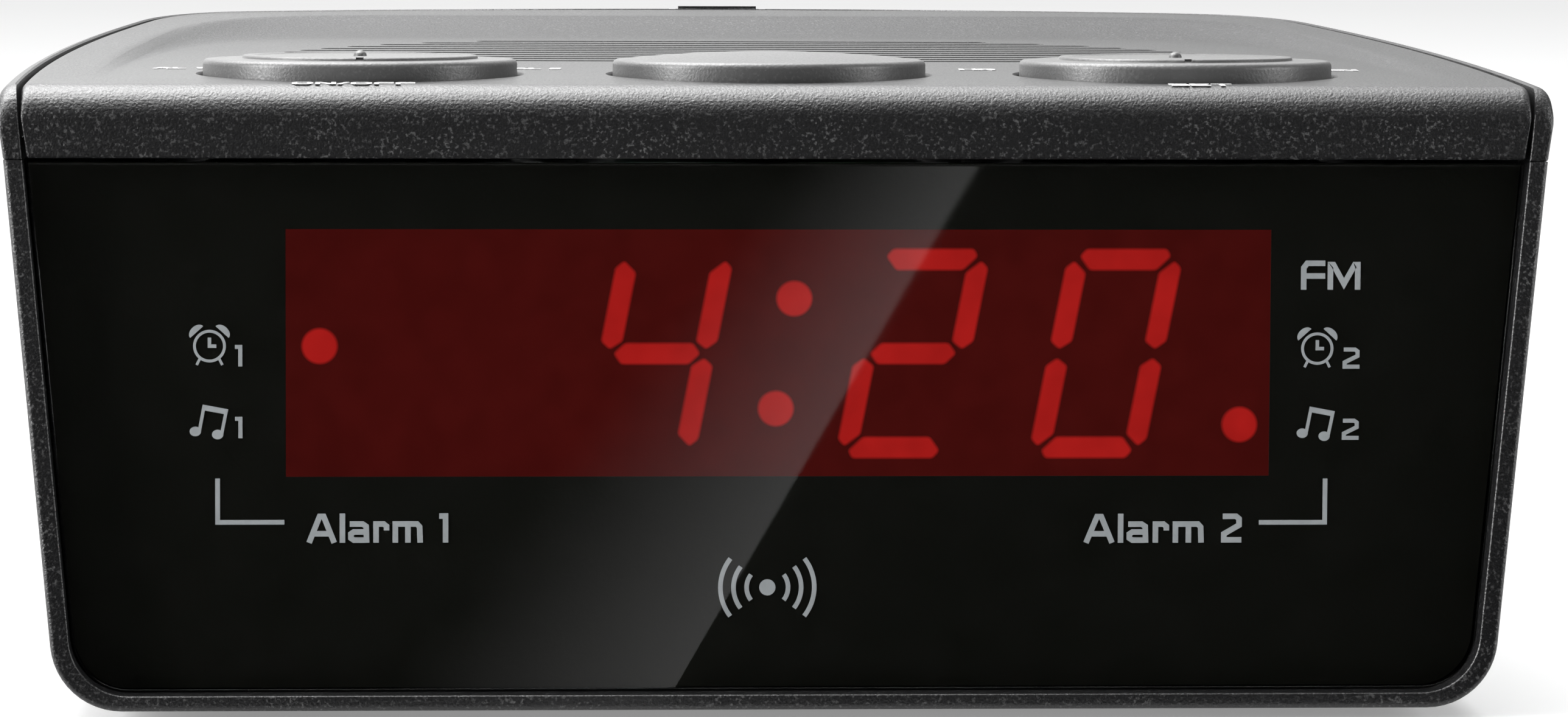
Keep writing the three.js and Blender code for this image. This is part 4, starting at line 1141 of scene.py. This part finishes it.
def tilt_key(side):
    """Round four-way key: cap with a raised round pad, a centre pip and the pivot lugs below."""
    x = side * KEY_PITCH
    top = KEY_TOP_Z
    pad, rise = 10.9, 0.34
    crown = [(pad + 0.2, top), (pad + 0.06, top + 0.05), (pad, top + 0.25), (pad - 0.13, top + rise)]
    crown += [(pad - 1.1, top + rise), (pad - 1.3, top + rise - 0.1), (0.9, top + rise - 0.1)]
    crown += [(0.62 * cos(a), top + rise - 0.1 + 0.55 * sin(a)) for a in (0, 0.4, 0.8, 1.2)]
    crown.append((0, top + rise + 0.45))
    cap = turned(key_profile(crown), 128, (x, KEY_Y, 0))
    name = "left_key" if side < 0 else "right_key"
    cap.name = name
    pivot = centre(node_box(f"{name}_pivot"))
    underside = top - 1.2
    lugs = []
    for way in (-1, 1):
        edges = sorted((KEY_Y + way * 4.2, KEY_Y + way * 6.2))
        lugs.append(block(x - 2.2, x + 2.2, edges[0], edges[1], pivot.z - 2.2, underside))
    weld(cap, lugs)
    carve(cap, [turned([(0, -7), (1.25, -7), (1.25, 7), (0, 7)], 24, (x, KEY_Y, pivot.z), "Y")])
    spots = [(-10, 0), (10, 0), (0, -10), (0, 10)]
    weld(cap, [rod(x + dx, KEY_Y + dy, SWITCH_TOP_Z + 0.65, underside, 1.5, 20) for dx, dy in spots])
    carve(cap, [block(x - 0.35, x + 0.35, KEY_Y - pad - 0.3, KEY_Y - pad + 0.9, top + 0.1, top + 2)])
    lean_top(cap)
    return settle(cap, KEYS, f"{name}_cap", [name], 40)


def snooze_key():
    """Round push key with a gently domed top and a post down to its switch."""
    steps, start = 14, KEY_RADIUS - 1.0
    shares = [1 - i / steps for i in range(steps + 1)]
    crown = [(start * share, KEY_TOP_Z + 0.04 + 0.7 * (1 - share ** 2)) for share in shares]
    cap = turned(key_profile(crown), 128, (0, KEY_Y, 0))
    cap.name = "snooze_key"
    weld(cap, [rod(0, KEY_Y, SWITCH_TOP_Z + 0.9, KEY_TOP_Z - 1, 2, 24)])
    lean_top(cap)
    return settle(cap, KEYS, "snooze", ["snooze_key"], 40)


# ---- Battery door and feet ----


def eased(obj, width, segments, angle=30):
    """Rounds every sharp edge of a simple solid."""
    modifier = obj.modifiers.new("ease", "BEVEL")
    modifier.width = width * MM
    modifier.segments = segments
    modifier.limit_method = "ANGLE"
    modifier.angle_limit = radians(angle)
    apply_modifiers(obj)
    return obj


def battery_door():
    low, high = DOOR_LOW, DOOR_HIGH
    door = eased(block(low.x, high.x, low.y, high.y, low.z, high.z), 0.25, 3)
    door.name = "battery_door"
    grooves = []
    for i in range(4):
        y = high.y - 5 - i * 1.8
        grooves.append(eased(block(-7, 7, y - 0.45, y + 0.45, low.z - 1, low.z + 0.6), 0.2, 2))
    carve(door, grooves)
    return settle(door, CASE, "door", ["battery_door"])


def feet():
    for index, (low, high) in enumerate(FEET):
        r = (high.x - low.x) / 2
        profile = [(0, 0), (r - 1.0, 0), (r - 0.55, 0.06), (r - 0.15, 0.3), (r, 0.7), (r, 2), (0, 2)]
        foot = turned(profile, 48, (*centre((low, high)).xy, 0))
        foot.name = f"rubber_foot_{index + 1}"
        settle(foot, RUBBER, replaces=[f"foot_{index + 1}"])


# ---- CAD nodes that stay ----


def finish_cad_nodes():
    for part in frame["record"]["subparts"]:
        obj = frame["nodes"][part["node"]]
        if obj.hide_render:
            continue
        obj.data.materials.clear()
        obj.data.materials.append(SLOT_MATERIAL[part["material_slot"]])


# ---- Stage, light and camera ----

# The camera's place, and its turns in degrees: yaw to the right, pitch downwards, then roll.
CAMERA_PLACE = (-35.47, -692.1, 88.78)
CAMERA_YAW = 3.26
CAMERA_PITCH = 5.035
CAMERA_ROLL = 0.268


def emitter(name, strength, fade=False):
    """Plain light material, dimmed by the sheet's own fade values if asked."""
    material = bpy.data.materials.new(name)
    material.use_nodes = True
    light = Wiring(material.node_tree)
    light.tree.nodes.clear()
    emission = light.node("ShaderNodeEmission", Strength=strength)
    if fade:
        fades = light.node("ShaderNodeAttribute", attribute_name="fade")
        light.link(fades.outputs["Fac"], emission.inputs["Strength"])
    light.link(emission.outputs[0], light.node("ShaderNodeOutputMaterial").inputs["Surface"])
    return material


def grid_faces(rows, columns):
    """Quads over points kept row by row; rows and columns count the quads."""
    faces = []
    for row in range(rows):
        for column in range(columns):
            a = row * (columns + 1) + column
            faces.append((a, a + 1, a + columns + 2, a + columns + 1))
    return faces


def sheet(name, points, faces, material, fades=None):
    """Stage sheet; fades are one brightness per point, read by the light material."""
    obj = add_object(name, new_mesh(name, points, faces))
    obj.data.materials.append(material)
    if fades:
        attribute = obj.data.attributes.new("fade", "FLOAT", "POINT")
        attribute.data.foreach_set("value", fades)
    return obj


def reflections_only(obj):
    """Shows a stage object in reflections and nowhere else."""
    for ray in ("camera", "diffuse", "transmission", "shadow", "volume_scatter"):
        setattr(obj, f"visible_{ray}", False)


def stage_floor():
    size = 6000
    corners = [(-size, -size, 0), (size, -size, 0), (size, size, 0), (-size, size, 0)]
    pale = Shader("floor_pale", (0.86, 0.86, 0.86), 0.9, specular=0.0)
    pale.shader.inputs["Emission Color"].default_value = (1, 1, 1, 1)
    pale.shader.inputs["Emission Strength"].default_value = 0.26
    sheet("floor", corners, [(0, 1, 2, 3)], pale.material)


def dark_flag():
    """Black card lying in front, so the lens and the brow mirror darkness."""
    near, far = FRONT - 3, -2600
    corners = [(-700, far, 0.4), (700, far, 0.4), (160, near, 0.4), (-160, near, 0.4)]
    reflections_only(sheet("dark_flag", corners, [(0, 1, 2, 3)], emitter("flag_black", 0.0)))


def glare_card():
    """Strip of light whose mirror image crosses the lens as a slanting glare with one sharp edge."""
    eye = Vector(CAMERA_PLACE)
    eye.y = 2 * LENS_FRONT_Y - eye.y
    rows, columns = 24, 12
    points, fades = [], []
    for row in range(rows + 1):
        up = row / rows
        z = 1.5 + 51 * up
        sharp = -10.3 + 29.2 * up
        width = 27 - 10 * up
        for column in range(columns + 1):
            across = column / columns
            target = Vector((sharp - width * across, LENS_FRONT_Y, z))
            reach = (eye.z - 0.9) / (eye.z - z)
            points.append(eye + (target - eye) * reach)
            fades.append(1.2 * (1 - across) ** 1.5)
    light = emitter("glare_light", 1.0, fade=True)
    reflections_only(sheet("glare_card", points, grid_faces(rows, columns), light, fades))


# Canopy rings: degrees up from the rear, brightness at its left end and at its right end.
CANOPY = (
    (9, 1.15, 0.55),
    (20, 1.25, 0.6),
    (34, 2.4, 1.4),
    (48, 6.0, 4.0),
    (62, 12.0, 5.2),
    (76, 20.0, 3.2),
    (90, 24.0, 1.6),
    (104, 15.0, 0.6),
    (118, 4.5, 0.1),
    (130, 0.0, 0.0),
)


def canopy():
    """Curved light sheet over and behind the case, brightest behind and to the left, for reflections."""
    radius, half_length = 420, 500
    columns = 20
    xs = [half_length * (2 * i / columns - 1) for i in range(columns + 1)]
    points, fades = [], []
    for angle, left_light, right_light in CANOPY:
        c, s = cos(radians(angle)), sin(radians(angle))
        for x in xs:
            points.append((x, FRONT + 40 + radius * c, 50 + radius * s))
            across = min(max((x + 90) / 220, 0), 1)
            far_right = min(max(1 - (x - 130) / 300, 0.2), 1)
            fades.append((left_light + (right_light - left_light) * across) * far_right)
    light = emitter("canopy_light", 1.0, fade=True)
    reflections_only(sheet("canopy", points, grid_faces(len(CANOPY) - 1, columns), light, fades))


def world_light():
    """Soft studio surround: bright low down behind, dark in front, plain white to the camera."""
    world = bpy.data.worlds.new("studio")
    bpy.context.scene.world = world
    world.use_nodes = True
    sky = Wiring(world.node_tree)
    split = sky.node("ShaderNodeSeparateXYZ")
    sky.link(sky.node("ShaderNodeTexCoord").outputs["Generated"], split.inputs[0])
    rightwards = sky.ramp(split.outputs["X"], -0.1, 0.3, 1.15, 0.15, "SMOOTHSTEP")
    behind = sky.ramp(split.outputs["Y"], 0.1, 0.85, 0.0, 1.6, "SMOOTHSTEP")
    overhead = sky.ramp(split.outputs["Z"], 0.3, 0.9, 0.02, 0.5, "SMOOTHSTEP")
    lit = sky.maths("ADD", sky.maths("MULTIPLY", behind, rightwards), overhead)
    seen = sky.node("ShaderNodeLightPath").outputs["Is Camera Ray"]
    background = sky.tree.nodes["Background"]
    background.inputs["Color"].default_value = (1, 1, 1, 1)
    sky.link(sky.maths("MAXIMUM", lit, seen), background.inputs["Strength"])


def area_light(name, place, target, size_x, size_y, watts):
    data = bpy.data.lights.new(name, "AREA")
    data.shape = "RECTANGLE"
    data.size = size_x * MM
    data.size_y = size_y * MM
    data.energy = watts
    obj = add_object(name, data)
    obj.location = Vector(place) * MM
    obj.rotation_euler = (Vector(target) - Vector(place)).to_track_quat("-Z", "Y").to_euler()


def camera():
    data = bpy.data.cameras.new("camera")
    data.lens = 160
    data.sensor_width = 36
    data.clip_start = 0.05
    data.clip_end = 50
    obj = add_object("camera", data)
    yaw, pitch, roll = (radians(a) for a in (CAMERA_YAW, CAMERA_PITCH, CAMERA_ROLL))
    turns = ((-yaw, "Z"), (pi / 2 - pitch, "X"), (roll, "Z"))
    obj.matrix_world = Matrix.Translation(Vector(CAMERA_PLACE) * MM)
    for angle, axis in turns:
        obj.matrix_world = obj.matrix_world @ Matrix.Rotation(angle, 4, axis)
    bpy.context.scene.camera = obj


lower_cabinet()
upper_frame()
top_cover()
front_lens()
lens_print()
led_display()
lens_marks()
deck_marks()
tilt_key(-1)
tilt_key(1)
snooze_key()
battery_door()
feet()
finish_cad_nodes()

stage_floor()
dark_flag()
glare_card()
canopy()
world_light()
# Two top softboxes share one place. One of 15 W gives a brighter picture than both together.
for watts in (8, 7):
    area_light("top_softbox", (0, 200, 1000), (0, 0, 0), 1200, 1000, watts)
area_light("left_strip", (-900, -260, 240), (0, -40, 40), 260, 500, 15)
area_light("right_strip", (900, -260, 240), (0, -40, 40), 260, 500, 5)
camera()
bpy.context.scene.view_settings.view_transform = "Standard"
